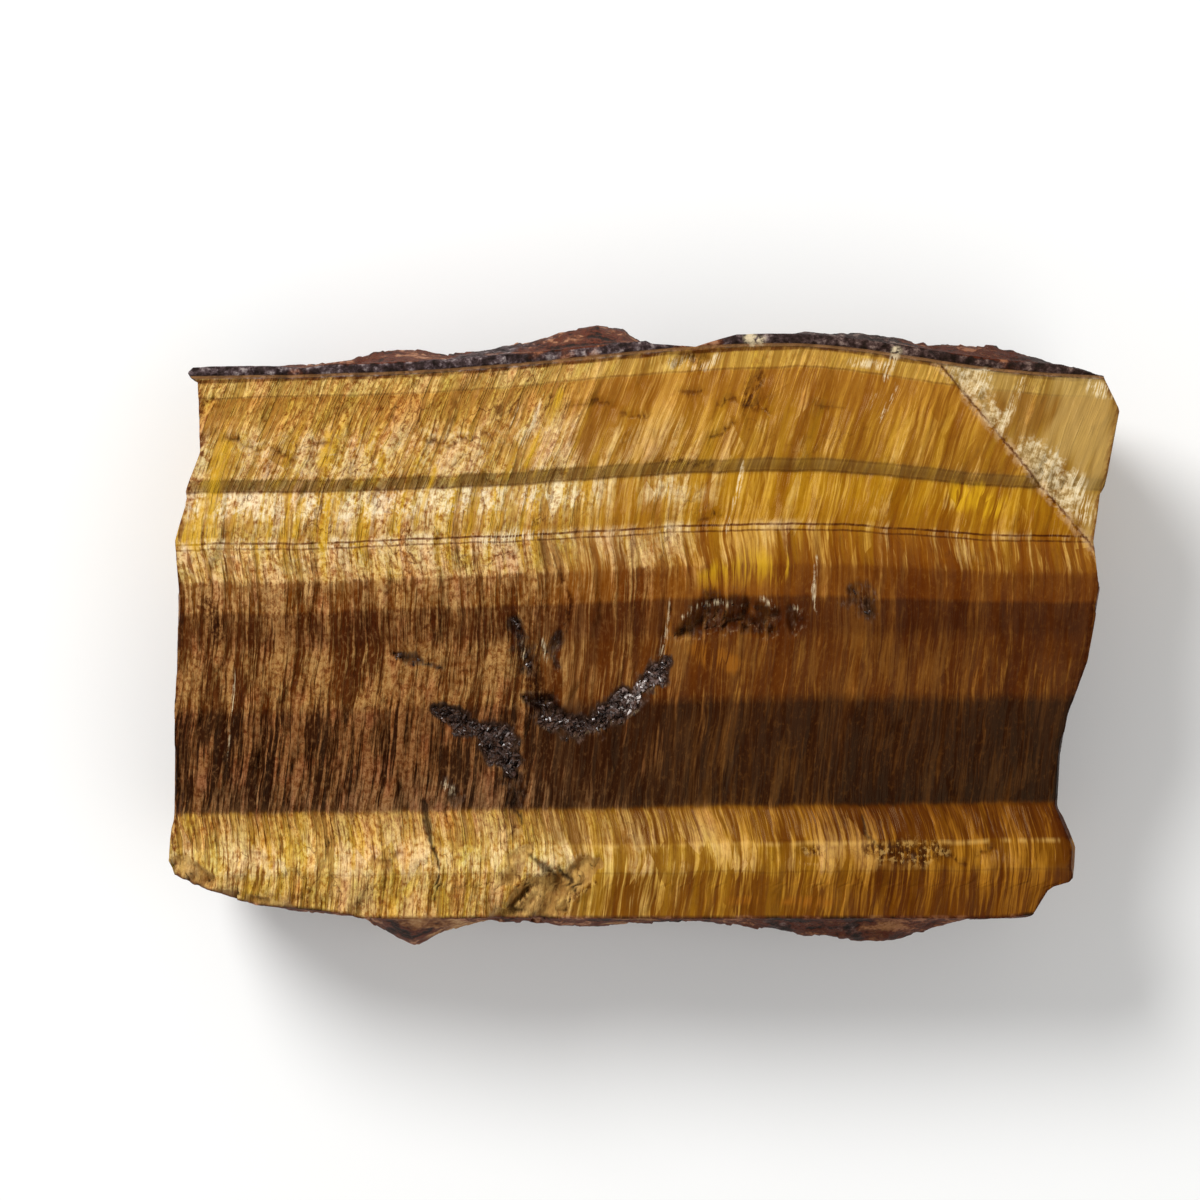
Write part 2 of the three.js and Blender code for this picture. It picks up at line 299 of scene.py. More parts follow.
goldStreaks = [
    [(-52.0, 24.0, 0.5), (-53.8, 18.0, 0.9), (-55.6, 11.6, 1.1)], [(-39.4, 25.4, 0.6), (-40.2, 21.6, 0.5)],
    [(-42.6, 17.0, 0.5), (-43.4, 12.6, 0.4)], [(-38.8, 17.2, 1.0), (-39.8, 12.6, 1.5)],
    [(-26.0, 21.0, 0.3), (-28.4, 14.0, 0.3)], [(-57.0, 12.6, 1.4), (-54.0, 12.4, 0.8)],
    [(8.0, 6.6, 1.4), (14.0, 8.6, 2.0), (17.4, 8.2, 1.4)], [(-10.4, 30.4, 0.4), (-14.6, 21.6, 0.4)],
    [(8.0, -33.2, 0.5), (24.0, -33.4, 0.5)], [(6.6, -1.4, 1.0), (9.0, -3.0, 1.4), (11.4, -3.4, 0.8)],
    [(40.0, 17.4, 1.4), (44.0, 16.6, 1.4)], [(3.3, 3.6, 0.2), (2.8, 0.2, 0.6), (2.1, -2.8, 0.7)],
]

# Rust and tan along a wall: x, reach along it, and how much.
rustPatches = [(-38, 13, 1.25), (-9, 8, 1.2), (7.4, 3.6, 2.0), (41.5, 8, 1.2)]
tanPatches = [(-29, 4, 0.9), (-4, 4, 0.5), (28, 7, 0.35)]
crumbPatches = [(51.2, 19.6, 2.6), (48.8, 22.4, 2.0), (40.4, 32.2, 2.6), (44.0, 27.4, 1.8),
                (53.2, 17.4, 1.7)]  # x, y and reach, past the crack


def bandLift(x, band):  # how far the bands stand above their straight course
    bow = slab["bow"]
    left, right = slab["ends"]
    bottom, top = slab["vein"]
    aside = (x - bow["x"]) / np.where(x < bow["x"], bow["left"], bow["right"])
    along = np.clip((x - left) / (right - left), 0, 1)
    across = np.clip((band - bottom) / (top - bottom), 0, 1)
    lift = bow["height"] * np.exp(-0.5 * aside * aside) * across ** 2
    return lift + slab["climb"] * across * (1 - across) ** 2 * along


def bandAt(x, y):
    band = y
    for _ in range(3):
        band = y - bandLift(x, band)
    return band


def hollowDepth(x, y):  # how deep the hollows are, and how much of them crystals line
    wobble = 1.5 * fractal([x / 3.4, y / 3.4], 2, 15) + 2.6 * fractal([x / 1.3, y / 1.3], 4, 11)
    flats = facets([(x + y) / 2.1 + 0.2 * wobble, (y - x) / 1.3], 135)
    depth = np.zeros(np.shape(x))
    lining = np.zeros(np.shape(x))
    for hollow in hollows.values():
        away = distanceToPath(x, y, hollow["path"]) + wobble * hollow.get("ragged", 1)
        inside = 1 - smoothstep(away, 0.3, 1.5)
        depth = np.maximum(depth, hollow["depth"] * inside * (1 + 1.3 * flats))
        lining = np.maximum(lining, hollow["lining"] * (1 - smoothstep(away, 0.7, 2.3)))
    return depth, lining


def snapDrop(x, y, across):  # below each ragged line the surface is lower, and heals further on; a second mask paints a shadow just below the line
    drop = np.zeros(np.shape(x))
    snapShadowMask = np.zeros(np.shape(x))
    teeth = 0.5 * fibreSteps(across / 0.6, y / 30, 140) + 1.0 * fibreSteps(across / 1.7, y / 30, 143)
    teeth = teeth + 2.6 * fractal([x / 1.8, y / 6], 3, 146)
    for snap in snaps:
        (ax, ay), (bx, by) = snap["from"], snap["to"]
        share = (x - ax) / (bx - ax)
        below = lerp(ay, by, share) - y + teeth * 0.55
        span = smoothstep(share, -0.08, 0.2) * (1 - smoothstep(share, 0.8, 1.08)) * (below > 0)
        drop = np.maximum(drop, snap["drop"] * span * np.exp(-np.maximum(below, 0) / snap["run"]))
        snapShadowMask = np.maximum(snapShadowMask, span * np.exp(-np.maximum(below, 0) / 0.7))
    return drop, snapShadowMask


def chipDepth(x, y):  # scoops, broken in flats, and a tone for each flat: deeper flats darker, raised ones lighter, partly painted shade and light
    depth = np.zeros(np.shape(x))
    wobble = 1.2 * fractal([x / 2.2, y / 2.2], 4, 151)
    flats = facets([(x + y) / 4.2 + 0.3 * wobble, (y - x) / 2.2], 155)
    for chip in chips:
        turn = math.radians(chip["turn"])
        dx, dy = x - chip["at"][0], y - chip["at"][1]
        along = (dx * math.cos(turn) + dy * math.sin(turn)) / chip["half"][0]
        across = (dy * math.cos(turn) - dx * math.sin(turn)) / chip["half"][1]
        away = np.hypot(along, across) + wobble
        depth = np.maximum(depth, chip["depth"] * (1 - smoothstep(away, 0.6, 1.1)) * (1 + 1.8 * flats))
    return depth, 0.5 - 1.4 * flats


def crackDepth(x, y):
    sideways = 1.1 * fractal([x / 2.4, y / 2.4], 3, 161)
    wobble = 0.9 * fractal([x / 0.7, y / 0.7], 2, 165)
    depth = np.zeros(np.shape(x))
    for crack in cracks.values():
        away = distanceToPath(x + sideways, y + sideways, crack["path"]) + wobble
        depth = np.maximum(depth, crack["depth"] * (1 - smoothstep(away, 0.6, 1.8)))
    return depth


def smearMask(x, y, paths):  # 1 inside, with ragged ends
    wobble = 1.8 * fractal([x / 0.8, y / 2.2], 3, 181)
    mask = np.zeros(np.shape(x))
    for path in paths:
        mask = np.maximum(mask, 1 - smoothstep(distanceToPath(x, y, path) + wobble, 0.5, 1.6))
    return mask


def patchMask(x, patches):
    return sum(much * np.exp(-(((x - at) / reach) ** 2)) for at, reach, much in patches)


def rustMask(x, strip):  # mostly behind the dark strip, and over it where that is weathered
    rust = patchMask(x, rustPatches)
    return rust * np.maximum(0.35 + 0.65 * smoothstep(strip, 0.8, 1.2), smoothstep(rust, 1.3, 1.8))


def beyondCorner(x, y):  # millimetres past the corner's crack
    turn = math.radians(corner["turn"])
    return (y - corner["at"][1]) * math.cos(turn) - (x - corner["at"][0]) * math.sin(turn)


def splitFibres(x, y, band, across):  # splinters, flakes, and a tone for each bundle
    smooth = smoothstep(x + 8 * fractal([x / 9, y / 14], 2, 205), *slab["smoothFrom"])
    rough = lerp(1.0, slab["smoothness"], smooth)
    steps = [fibreSteps(across / width, band / run, 20 + 10 * i)
             for i, (width, run, height) in enumerate(slab["splinters"])]
    flaky = smoothstep(band, 9, 14)
    heights = [height * lerp(1, 0.5 if width < 1 else 0.9, flaky) for width, _, height in slab["splinters"]]
    splinters = rough * sum(step * height for step, height in zip(steps, heights))
    splinters = splinters + rough * lerp(0.1, 0.45, flaky) * fractal([across / 0.9, band / 1.6], 3, 215)
    nearRims = smoothstep(band, 18, 21) + 1 - smoothstep(band, -26, -22)  # flakes are short there
    chunks = lerp(facets([across / 1.7, band / 9], 210), facets([across / 2.6, band / 3.6], 230), nearRims)
    tone = 0.5 + 0.4 * steps[0] + 0.5 * steps[1] + 0.35 * steps[2]
    return splinters, slab["chunks"] * rough * chunks, tone


def cornerFall(x, y):  # past its crack the corner drops, and crumbs lie along it
    past = beyondCorner(x, y)
    drop = corner["step"] * smoothstep(past, 0, 0.5) + corner["fall"] * np.maximum(0, past)
    crumbly = sum(np.exp(-((x - at) ** 2 + (y - over) ** 2) / reach ** 2) for at, over, reach in crumbPatches)
    return past, drop, crumbly * smoothstep(past, -0.5, 0.2)


def faceRelief(x, y, band, across):  # the face's height, and the marks that its colours follow
    splinters, chunks, tone = splitFibres(x, y, band, across)
    swell = slab["swell"] * fractal([x / 15, y / 11], 3, 220)
    depth, lining = hollowDepth(x, y)
    snapped, snapShadowMask = snapDrop(x, y, across)
    chipped, facet = chipDepth(x, y)
    cracked = crackDepth(x, y)
    past, cornerDrop, crumbly = cornerFall(x, y)
    crumbs = crumbly * fractal([x / 1.1, y / 1.1], 4, 171)
    fallOff = slab["fallOff"] * np.abs(x / slab["halfLength"]) ** 5
    height = slab["faceCrest"] + brokenLine(slab["profile"])(band) + splinters + swell - fallOff
    height = height + chunks + crumbs
    height = height - np.maximum(depth, cracked) - np.maximum(snapped, chipped) - cornerDrop
    marks = {
        "lining": lining,
        "broken": np.clip(snapShadowMask, 0, 1),
        "crack": np.clip(cracked / 0.3, 0, 1),
        "pale": smearMask(x, y, paleSmearsAndGlints),
        "stain": smearMask(x, y, brownStains),
        "past": past,
        "crumbs": crumbly,
        "chip": np.clip(chipped / 0.7, 0, 1) * (y < 0) * (x < 0),
        "facet": facet,
        "gold": smearMask(x, y, goldStreaks),
        "bundle": tone,
    }
    return height, marks


def backRelief(x, y):
    hollow = 4.4 * np.exp(-(((y - 1) / 9) ** 2)) - 0.9
    waves = 0.8 * np.sin(x * 0.17 + 0.9) * np.sin(y * 0.13 + 1) + 0.4 * np.sin(x * 0.43)
    rims = 5 * smoothstep(np.abs(x), 46, 62) + 7 * smoothstep(np.abs(y), 28, 41)
    return np.maximum(0, hollow + waves + rims)


def endInset(y, height):
    underside = (2.6 + 1.3 * np.sin(y * 0.11 + 0.6)) * smoothstep(1 - height, 0.35, 1) ** 1.5
    return underside + 0.35 * (1 - 0.8 * height) * (1 + np.sin(height * 11 + 0.8))


def wallReach(outline, faceEdge, x, height):
    underside = 2.4 + 1.5 * np.sin(x * 0.09 + 2) + 0.5 * np.sin(x * 0.31)
    lumps = 0.3 * (1 + np.sin(height * 9 + x * 0.2))
    behind = outline - underside * smoothstep(1 - height, 0.45, 1) ** 1.3 - lumps
    return lerp(np.minimum(faceEdge, behind), behind, smoothstep(1 - height, 0, slab["wallBevel"]))


def settle(along, across, height):  # from shares of the three directions to x and y
    left, right = slab["ends"]
    bottom, top = slab["vein"]
    leftEnd, rightEnd = brokenLine(slab["leftEnd"]), brokenLine(slab["rightEnd"])
    upperWall, lowerWall = brokenLine(slab["upperWall"]), brokenLine(slab["lowerWall"])
    x = lerp(left, right, along)
    for _ in range(slab["settling"]):
        upperEdge = top + bandLift(x, top) + slab["wallStrip"]
        lowerEdge = bottom + bandLift(x, bottom) - slab["lowerStrip"]
        upper = wallReach(upperWall(x), upperEdge, x, height)
        lower = -wallReach(-lowerWall(x), -lowerEdge, x, height)
        y = lerp(lower, upper, across)
        inset = endInset(y, height)
        x = lerp(leftEnd(y) + inset, rightEnd(y) - inset, along)
    return x, y


def boxSkin(columns, rows, layers):  # lattice places on the skin of a box, and the quads between
    i, j, k = np.meshgrid(np.arange(columns + 1), np.arange(rows + 1), np.arange(layers + 1), indexing="ij")
    onSkin = (i % columns == 0) | (j % rows == 0) | (k % layers == 0)
    number = np.full(onSkin.shape, -1)
    number[onSkin] = np.arange(onSkin.sum())
    sheets = [(number[:, :, -1], False), (number[:, :, 0], True), (number[-1], False), (number[0], True),
              (number[:, 0], False), (number[:, -1], True)]
    quads = []
    for ids, turned in sheets:
        ring = [ids[:-1, :-1], ids[1:, :-1], ids[1:, 1:], ids[:-1, 1:]]
        quads.append(np.stack(ring[::-1] if turned else ring, -1).reshape(-1, 4))
    places = np.stack([i, j, k], -1)[onSkin] / (columns, rows, layers)
    return places, np.concatenate(quads)


def meshFrom(name, points, faces, layers=None):  # points in metres; layers are values at the points
    mesh = bpy.data.meshes.new(name)
    mesh.vertices.add(len(points))
    mesh.vertices.foreach_set("co", points.astype(np.float32).ravel())
    size = faces.shape[1]
    mesh.loops.add(faces.size)
    mesh.loops.foreach_set("vertex_index", faces.astype(np.int32).ravel())
    mesh.polygons.add(len(faces))
    mesh.polygons.foreach_set("loop_start", np.arange(0, faces.size, size, dtype=np.int32))
    for layer, values in (layers or {}).items():
        mesh.attributes.new(layer, "FLOAT", "POINT").data.foreach_set("value", values.astype(np.float32))
    mesh.update()
    mesh.validate()
    mesh.shade_smooth()
    piece = bpy.data.objects.new(name, mesh)
    bpy.context.scene.collection.objects.link(piece)
    return piece


def frayEnds(x, band, along, through):  # the two ends: bundles of fibres stand proud of each other
    nearEnd = along ** 14 - (1 - along) ** 14
    ragged = 0.9 * fibreSteps(through / 4, band / 30, 60) + 0.45 * fibreSteps(through / 1.1, band / 16, 63)
    return x + nearEnd * (ragged + 0.5 * fractal([through / 6, band / 18], 3, 66))


def lumpWalls(x, y, across, height, through):  # the two walls: rusty rock, broken in flats and lumps
    nearWall = across ** 14 - (1 - across) ** 14
    lumps = 1.6 * facets([x / 7, through / 6], 70) + 0.6 * facets([x / 2.6, through / 2.4], 90)
    lumps = lerp(0.4, 1.0, smoothstep(1 - height, 0.3, 0.7)) * lumps
    lumps = lumps + 1.1 * fractal([x / 6, through / 6], 2, 112)
    lumps = lumps + 0.35 * fractal([x / 1.2, through / 1.2], 3, 110)
    return y + nearWall * smoothstep(1 - height, -0.05, 0.25) * lumps


def makeSlab():
    places, quads = boxSkin(slab["columns"], slab["rows"], slab["layers"])
    along, across, depthShare = places.T
    across = np.interp(across, (0, 0.92, 1), (0, 0.97, 1))  # finer rows where the dark strip is
    height = (np.sin((depthShare - 0.5) * math.pi) + 1) / 2  # layers crowd at the face and the back
    through = height * slab["faceCrest"]
    x, y = settle(along, across, height)
    x = frayEnds(x, bandAt(x, y), along, through)
    y = lumpWalls(x, y, across, height, through)

    bottom, top = slab["vein"]
    band = bandAt(x, y)
    leans = [brokenLine(slab[side])(band) for side in ("leanLeft", "leanRight")]
    fibreX = x - lerp(*leans, smoothstep(x, -40, 40))
    faceZ, marks = faceRelief(x, y, band, fibreX)
    strip = (band - top) / slab["wallStrip"]
    rock = smoothstep(strip, 0.0, 0.1)
    bead = slab["bead"] * np.sin(math.pi * np.clip(strip, 0, 1)) - 0.3 * np.exp(-((strip - 0.2) / 0.07) ** 2)
    faceZ = faceZ + rock * (bead + 0.45 * fractal([x / 0.8, y / 0.6], 3, 130))
    rock = np.maximum(rock, 1 - smoothstep(band, bottom - 0.15, bottom + 0.05))
    z = lerp(backRelief(x, y), faceZ, height)

    onFace = smoothstep(height, 0.97, 1)
    drift = 34 * smoothstep(1 - height, 0.02, 0.3) * fractal([x / 40, through / 9], 3, 240)
    layers = {
        "band": band,
        "fibreX": fibreX,
        "fibreZ": np.where(height > 0.999, slab["faceCrest"], through),
        "rock": np.maximum(rock, smoothstep(np.abs(across - 0.5), 0.499, 0.5)),
        "strip": np.where(across > 0.5, strip, -9),  # from 0 to 1 over the dark strip, and -9 below the vein
        "past": marks["past"],
        "bundle": marks["bundle"],
        "rust": rustMask(x + drift, strip),
        "tan": patchMask(x + drift, tanPatches),
        "face": onFace,
        "rim": smoothstep(np.abs(along - 0.5), 0.492, 0.5) * onFace,
    }
    for name in ("lining", "broken", "crack", "crumbs", "chip", "facet", "gold", "pale", "stain"):
        layers[name] = marks[name] * onFace
    points = np.stack([x, y, z], -1)
    stone = meshFrom("tigersEyeStone", points * mm, quads, layers)
    low, high = points.min(0), points.max(0)
    middle = Vector(((low[0] + high[0]) / 2, (low[1] + high[1]) / 2, low[2])) * mm
    shift = Vector((cadMiddle.x, cadMiddle.y, cadLow.z)) - middle
    stone.data.transform(Matrix.Translation(shift))
    thinOut(stone, height)
    return stone, shift


def thinOut(stone, height):  # fewer triangles where the fibres don't show: the back and the sides
    group = stone.vertex_groups.new(name="plain")
    weights = np.round(1 - smoothstep(height, 0.9, 1.0), 2)
    for weight in np.unique(weights[weights > 0]):
        group.add(np.flatnonzero(weights == weight).tolist(), float(weight), "REPLACE")
    stone.data.calc_loop_triangles()
    thin = stone.modifiers.new("thin", "DECIMATE")
    thin.ratio = slab["triangles"] / len(stone.data.loop_triangles)
    thin.vertex_group = "plain"
    thin.vertex_group_factor = 1.0
    bpy.context.view_layer.objects.active = stone
    bpy.ops.object.modifier_apply(modifier=thin.name)
    stone.vertex_groups.clear()


stone, slabShift = makeSlab()
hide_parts("tigers_eye_slab")
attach(stone, "root")
print("stone:", len(stone.data.polygons), "faces")


def treeOf(values):  # the node tree that the sockets among some values belong to
    return next(value.id_data for value in values if isinstance(value, bpy.types.NodeSocket))


def feed(tree, socket, value):  # links a socket to another one, or sets it
    if isinstance(value, bpy.types.NodeSocket):
        tree.links.new(value, socket)
    else:
        socket.default_value = value


def node(tree, kind, sockets=None, **settings):  # a node with its settings; sockets take values or links
    made = tree.nodes.new(kind)
    for name, value in settings.items():
        setattr(made, name, value)
    for name, value in (sockets or {}).items():
        feed(tree, made.inputs[name], value)
    return made


def maths(operation, *values):
    return node(treeOf(values), "ShaderNodeMath", dict(enumerate(values)), operation=operation).outputs[0]


def times(*values):
    made = values[0]
    for value in values[1:]:
        made = maths("MULTIPLY", made, value)
    return made


def total(*values):
    made = values[0]
    for value in values[1:]:
        made = maths("ADD", made, value)
    return made


def centred(value, strength):  # a mask from 0 to 1, made to swing about 0
    return times(maths("SUBTRACT", value, 0.5), strength)


def varied(on, *values, **strengths):  # a sum in which each named pattern swings by its strength
    return total(*values, *(centred(getattr(on, name), much) for name, much in strengths.items()))


def inverted(mask):
    return maths("SUBTRACT", 1.0, mask)


def remap(value, low, high, newLow=0.0, newHigh=1.0, smooth=False):
    made = node(treeOf([value]), "ShaderNodeMapRange",
                {"Value": value, "From Min": low, "From Max": high, "To Min": newLow, "To Max": newHigh},
                interpolation_type="SMOOTHSTEP" if smooth else "LINEAR")
    return made.outputs["Result"]


def around(value, middle, inner, outer, inside=1, outside=0, smooth=False):  # a mask on both sides of a place
    away = maths("ABSOLUTE", total(value, -middle))
    return remap(away, inner, outer, inside, outside, smooth)


def blend(share, first, second, kind="MIX"):
    tree = treeOf([share, first, second])
    made = node(tree, "ShaderNodeMix", data_type="RGBA", blend_type=kind)
    sockets = {socket.identifier: socket for socket in made.inputs}
    for name, value in (("Factor_Float", share), ("A_Color", first), ("B_Color", second)):
        feed(tree, sockets[name], value)
    return next(socket for socket in made.outputs if socket.identifier == "Result_Color")


def tinted(colour, shade):
    return blend(1.0, colour, shade, "MULTIPLY")


def darken(amount, colour, shade):
    return blend(amount, colour, tinted(colour, shade))


def vector(x, y, z):
    return node(treeOf([x, y, z]), "ShaderNodeCombineXYZ", {"X": x, "Y": y, "Z": z}).outputs[0]


def channels(colour):
    return node(treeOf([colour]), "ShaderNodeSeparateColor", {"Color": colour}).outputs


def noise(place, scale, detail=3.0, roughness=0.55):
    return node(treeOf([place]), "ShaderNodeTexNoise",
                {"Vector": place, "Scale": scale, "Detail": detail, "Roughness": roughness}).outputs["Fac"]


def cells(place, result, **settings):
    return node(treeOf([place]), "ShaderNodeTexVoronoi", {"Vector": place, "Scale": 1.0},
                **settings).outputs[result]


def ramp(value, stops):
    made = node(treeOf([value]), "ShaderNodeValToRGB", {"Fac": value})
    elements = made.color_ramp.elements
    while len(elements) > 1:
        elements.remove(elements[-1])
    elements[0].position, elements[0].color = stops[0]
    for where, colour in stops[1:]:
        elements.new(where).color = colour
    return made.outputs["Color"]


def painted(value, stops):  # a ramp of colours given from 0 to 255
    return ramp(value, [(at, srgb(*colour)) for at, colour in stops])


def group(name, inputs, outputs):  # a node group with named sockets: its tree, inputs and outputs
    tree = bpy.data.node_groups.new(name, "ShaderNodeTree")
    for socket, kind, value in inputs:
        made = tree.interface.new_socket(socket, in_out="INPUT", socket_type=kind)
        if value is not None:
            made.default_value = value
    for socket, kind in outputs:
        tree.interface.new_socket(socket, in_out="OUTPUT", socket_type=kind)
    return tree, tree.nodes.new("NodeGroupInput").outputs, tree.nodes.new("NodeGroupOutput").inputs


def place(tree, made, sockets):  # puts a group into a material
    return node(tree, "ShaderNodeGroup", sockets, node_tree=made).outputs


def fibreGroup(name, output):  # a group that follows the fibres: its tree, the place on them, its output
    given = [("Fibre X", 0.0), ("Band", 0.0), ("Fibre Z", 0.0), ("Width", 1.0), ("Length", 10.0)]
    tree, given, out = group(name, [(socket, "NodeSocketFloat", value) for socket, value in given],
                             [(output, "NodeSocketFloat")])
    spread = vector(maths("DIVIDE", given["Fibre X"], given["Width"]),
                    maths("DIVIDE", given["Band"], given["Length"]),
                    maths("DIVIDE", given["Fibre Z"], given["Width"]))
    return tree, spread, out[output]


def makeFibreStreaks():  # long thin streaks that run with the fibres
    tree, spread, out = fibreGroup("fibreStreaks", "Streak")
    tree.links.new(noise(spread, 1.0, 2.0, 0.5), out)
    return tree


def makeFibreBlocks():  # long blocks of fibres, each with its own tone
    tree, spread, out = fibreGroup("fibreBlocks", "Tone")
    tree.links.new(channels(cells(spread, "Color"))["Red"], out)
    return tree


# The vein from wall to wall. Each row: place in mm, colour of clear amber fibres, colour of split
# silky fibres with their painted sheen, how much of the left and of the right half is silky, and how much of
# that is cream, painted as highlights.
bands = {
    "rows": [
        (-35.2, (128, 80, 14), (232, 190, 100), 0.78, 0.05, 0.2),
        (-30.6, (130, 82, 14), (234, 192, 100), 0.78, 0.05, 0.2),
        (-30.0, (148, 104, 22), (244, 210, 122), 0.84, 0.2, 0.4),
        (-27.0, (150, 108, 22), (244, 208, 120), 0.84, 0.26, 0.4),
        (-26.7, (128, 80, 14), (234, 194, 104), 0.78, 0.18, 0.3),
        (-22.8, (118, 72, 12), (210, 164, 80), 0.6, 0.14, 0.1),
        (-22.3, (46, 19, 4), (148, 105, 63), 0.46, -0.1, 0.05),
        (-16.0, (48, 19, 3), (148, 102, 60), 0.43, -0.16, 0.0),
        (-10.2, (54, 23, 4), (150, 103, 60), 0.45, -0.14, 0.0),
        (-8.8, (96, 49, 8), (174, 130, 75), 0.54, 0.04, 0.0),
        (-2.4, (98, 50, 8), (176, 132, 77), 0.54, 0.04, 0.0),
        (-0.8, (84, 40, 8), (152, 108, 62), 0.38, 0.0, 0.0),
        (2.6, (88, 43, 8), (158, 114, 66), 0.42, 0.0, 0.0),
        (3.0, (122, 68, 12), (188, 142, 82), 0.56, 0.08, 0.05),
        (6.4, (126, 72, 12), (194, 148, 88), 0.58, 0.08, 0.05),
        (6.9, (138, 82, 13), (236, 194, 120), 0.79, 0.12, 0.2),
        (10.6, (146, 90, 16), (238, 200, 126), 0.79, 0.16, 0.3),
        (11.5, (152, 100, 18), (226, 192, 126), 0.7, 0.24, 0.6),
        (12.4, (166, 116, 22), (208, 168, 90), 0.42, 0.1, 0.2),
        (14.2, (170, 120, 22), (216, 180, 106), 0.46, 0.1, 0.35),
        (14.9, (174, 126, 24), (232, 198, 122), 0.68, 0.1, 0.7),
        (17.5, (176, 128, 26), (236, 204, 128), 0.72, 0.12, 0.7),
        (18.0, (128, 94, 39), (166, 134, 76), 0.42, 0.08, 0.1),
        (19.15, (132, 98, 43), (172, 140, 80), 0.42, 0.08, 0.0),
        (19.6, (150, 102, 25), (226, 184, 100), 0.64, 0.08, 0.3),
        (24.4, (158, 108, 28), (230, 188, 106), 0.66, 0.08, 0.3),
        (26.4, (160, 108, 30), (222, 174, 88), 0.56, 0.08, 0.1),
        (29.6, (158, 106, 32), (214, 166, 80), 0.5, 0.08, 0.0),
        (30.0, (176, 136, 55), (232, 194, 108), 0.62, 0.28, 0.1),
        (32.1, (172, 134, 55), (228, 190, 108), 0.62, 0.28, 0.1),
    ],
    "sway": 0.9, "jitter": 0.22,  # mm that a band's edge wanders, slowly and from fibre to fibre
    "lowJitter": 1.0,  # the same in the gold bands along the lower wall
    # how golden the threads are: place and share
    "yellow": [(-35, 0.6), (-27, 0.6), (-22.8, 0.5), (-22.4, 0.0), (6.6, 0.0), (7, 0.4), (11.4, 0.9),
               (17.6, 1.0), (18, 0.1), (19.6, 0.8), (25, 0.7), (28, 0.1)],
    # thin dark lines along the bands: place, half width and strength
    "lines": [(11.5, 0.08, 0.9), (10.8, 0.07, 0.7), (29.85, 0.07, 0.4), (17.9, 0.09, 0.5),
              (19.25, 0.08, 0.3), (-30.1, 0.07, 0.2), (32.0, 0.14, 0.9)],
}

ironstone = {
    "crust": [(0.36, (24, 17, 18)), (0.48, (50, 38, 40)), (0.56, (84, 70, 72)), (0.68, (152, 140, 136))],
    "rust": [(0.0, (28, 16, 13)), (0.22, (62, 30, 21)), (0.45, (100, 48, 32)), (0.6, (72, 42, 31)),
             (0.8, (124, 74, 50)), (1.0, (164, 118, 88))],
    "tan": [(0.36, (64, 34, 20)), (0.46, (110, 66, 38)), (0.54, (150, 106, 66)), (0.66, (188, 150, 104))],
    "coarse": 230, "fine": 900,  # lumps and grains per metre
}


def makeIronstone():  # the vein's walls: blue-black crust that weathers to rust
    tree, given, out = group("ironstone",
                             [("Position", "NodeSocketVector", None), ("Rust", "NodeSocketFloat", 0.0),
                              ("Tan", "NodeSocketFloat", 0.0)],
                             [("Color", "NodeSocketColor"), ("Height", "NodeSocketFloat")])
    coarse = noise(given["Position"], ironstone["coarse"], 4.0, 0.6)
    fine = noise(given["Position"], ironstone["fine"], 5.0, 0.65)
    crust = painted(fine, ironstone["crust"])
    rusty = painted(remap(blend(0.45, coarse, fine), 0.4, 0.6), ironstone["rust"])
    tanned = painted(blend(0.5, coarse, fine), ironstone["tan"])
    colour = blend(remap(total(given["Rust"], coarse), 0.78, 0.98, smooth=True), crust, rusty)
    colour = blend(remap(total(given["Tan"], coarse), 0.85, 1.1, smooth=True), colour, tanned)
    tree.links.new(colour, out["Color"])
    tree.links.new(total(fine, times(coarse, 1.5)), out["Height"])
    return tree


stoneLook = {
    "amberRoughness": 0.28, "silkRoughness": 0.5, "rockRoughness": 0.7,
    "fibreBump": 0.28, "rockBump": 0.35,  # mm
    "gloss": 0.12, "glossTint": (1.0, 0.75, 0.4, 1.0),
    "wander": (1.5, 0.3),  # mm that fibres stray from their course, slowly and finely
    # width and length of streaks and of blocks of fibres in mm, and where in the pattern they start
    "streaks": {"hair": (0.2, 4, 0), "thread": (0.45, 8, 0), "cord": (1.4, 10, 0), "broad": (4, 14, 0),
                "patch": (5, 6, 40), "sweep": (16, 30, 0), "tinge": (2.6, 5, 71), "gap": (0.32, 4, 57),
                "rule": (0.26, 9, 91), "golden": (1.3, 24, 31)},
    "blocks": {"wide": (2.8, 9, 0), "slim": (1.1, 6, 50)},
    "grain": (2.3, 1.3),  # times per mm over the fibres and along them
    "grit": 1300,  # times per metre
    # middle in mm across the vein, and how far from it a mask begins and ends to fall
    "darkBands": (-8, 13, 16), "darkest": (-16, 5.5, 7.5), "crest": (-26.9, 0.05, 0.4),
    "glow": (-0.03, 0.002, 0.011),  # the same along the vein in metres, for a paler stretch
    # metres along the vein between which the stone takes on the looks of its right half and far ends; the
    # paler, silkier left is partly painted sheen of light from the left
    "east": (-0.018, 0.008), "farEast": (0.01, 0.036), "farWest": (-0.02, -0.045),
}
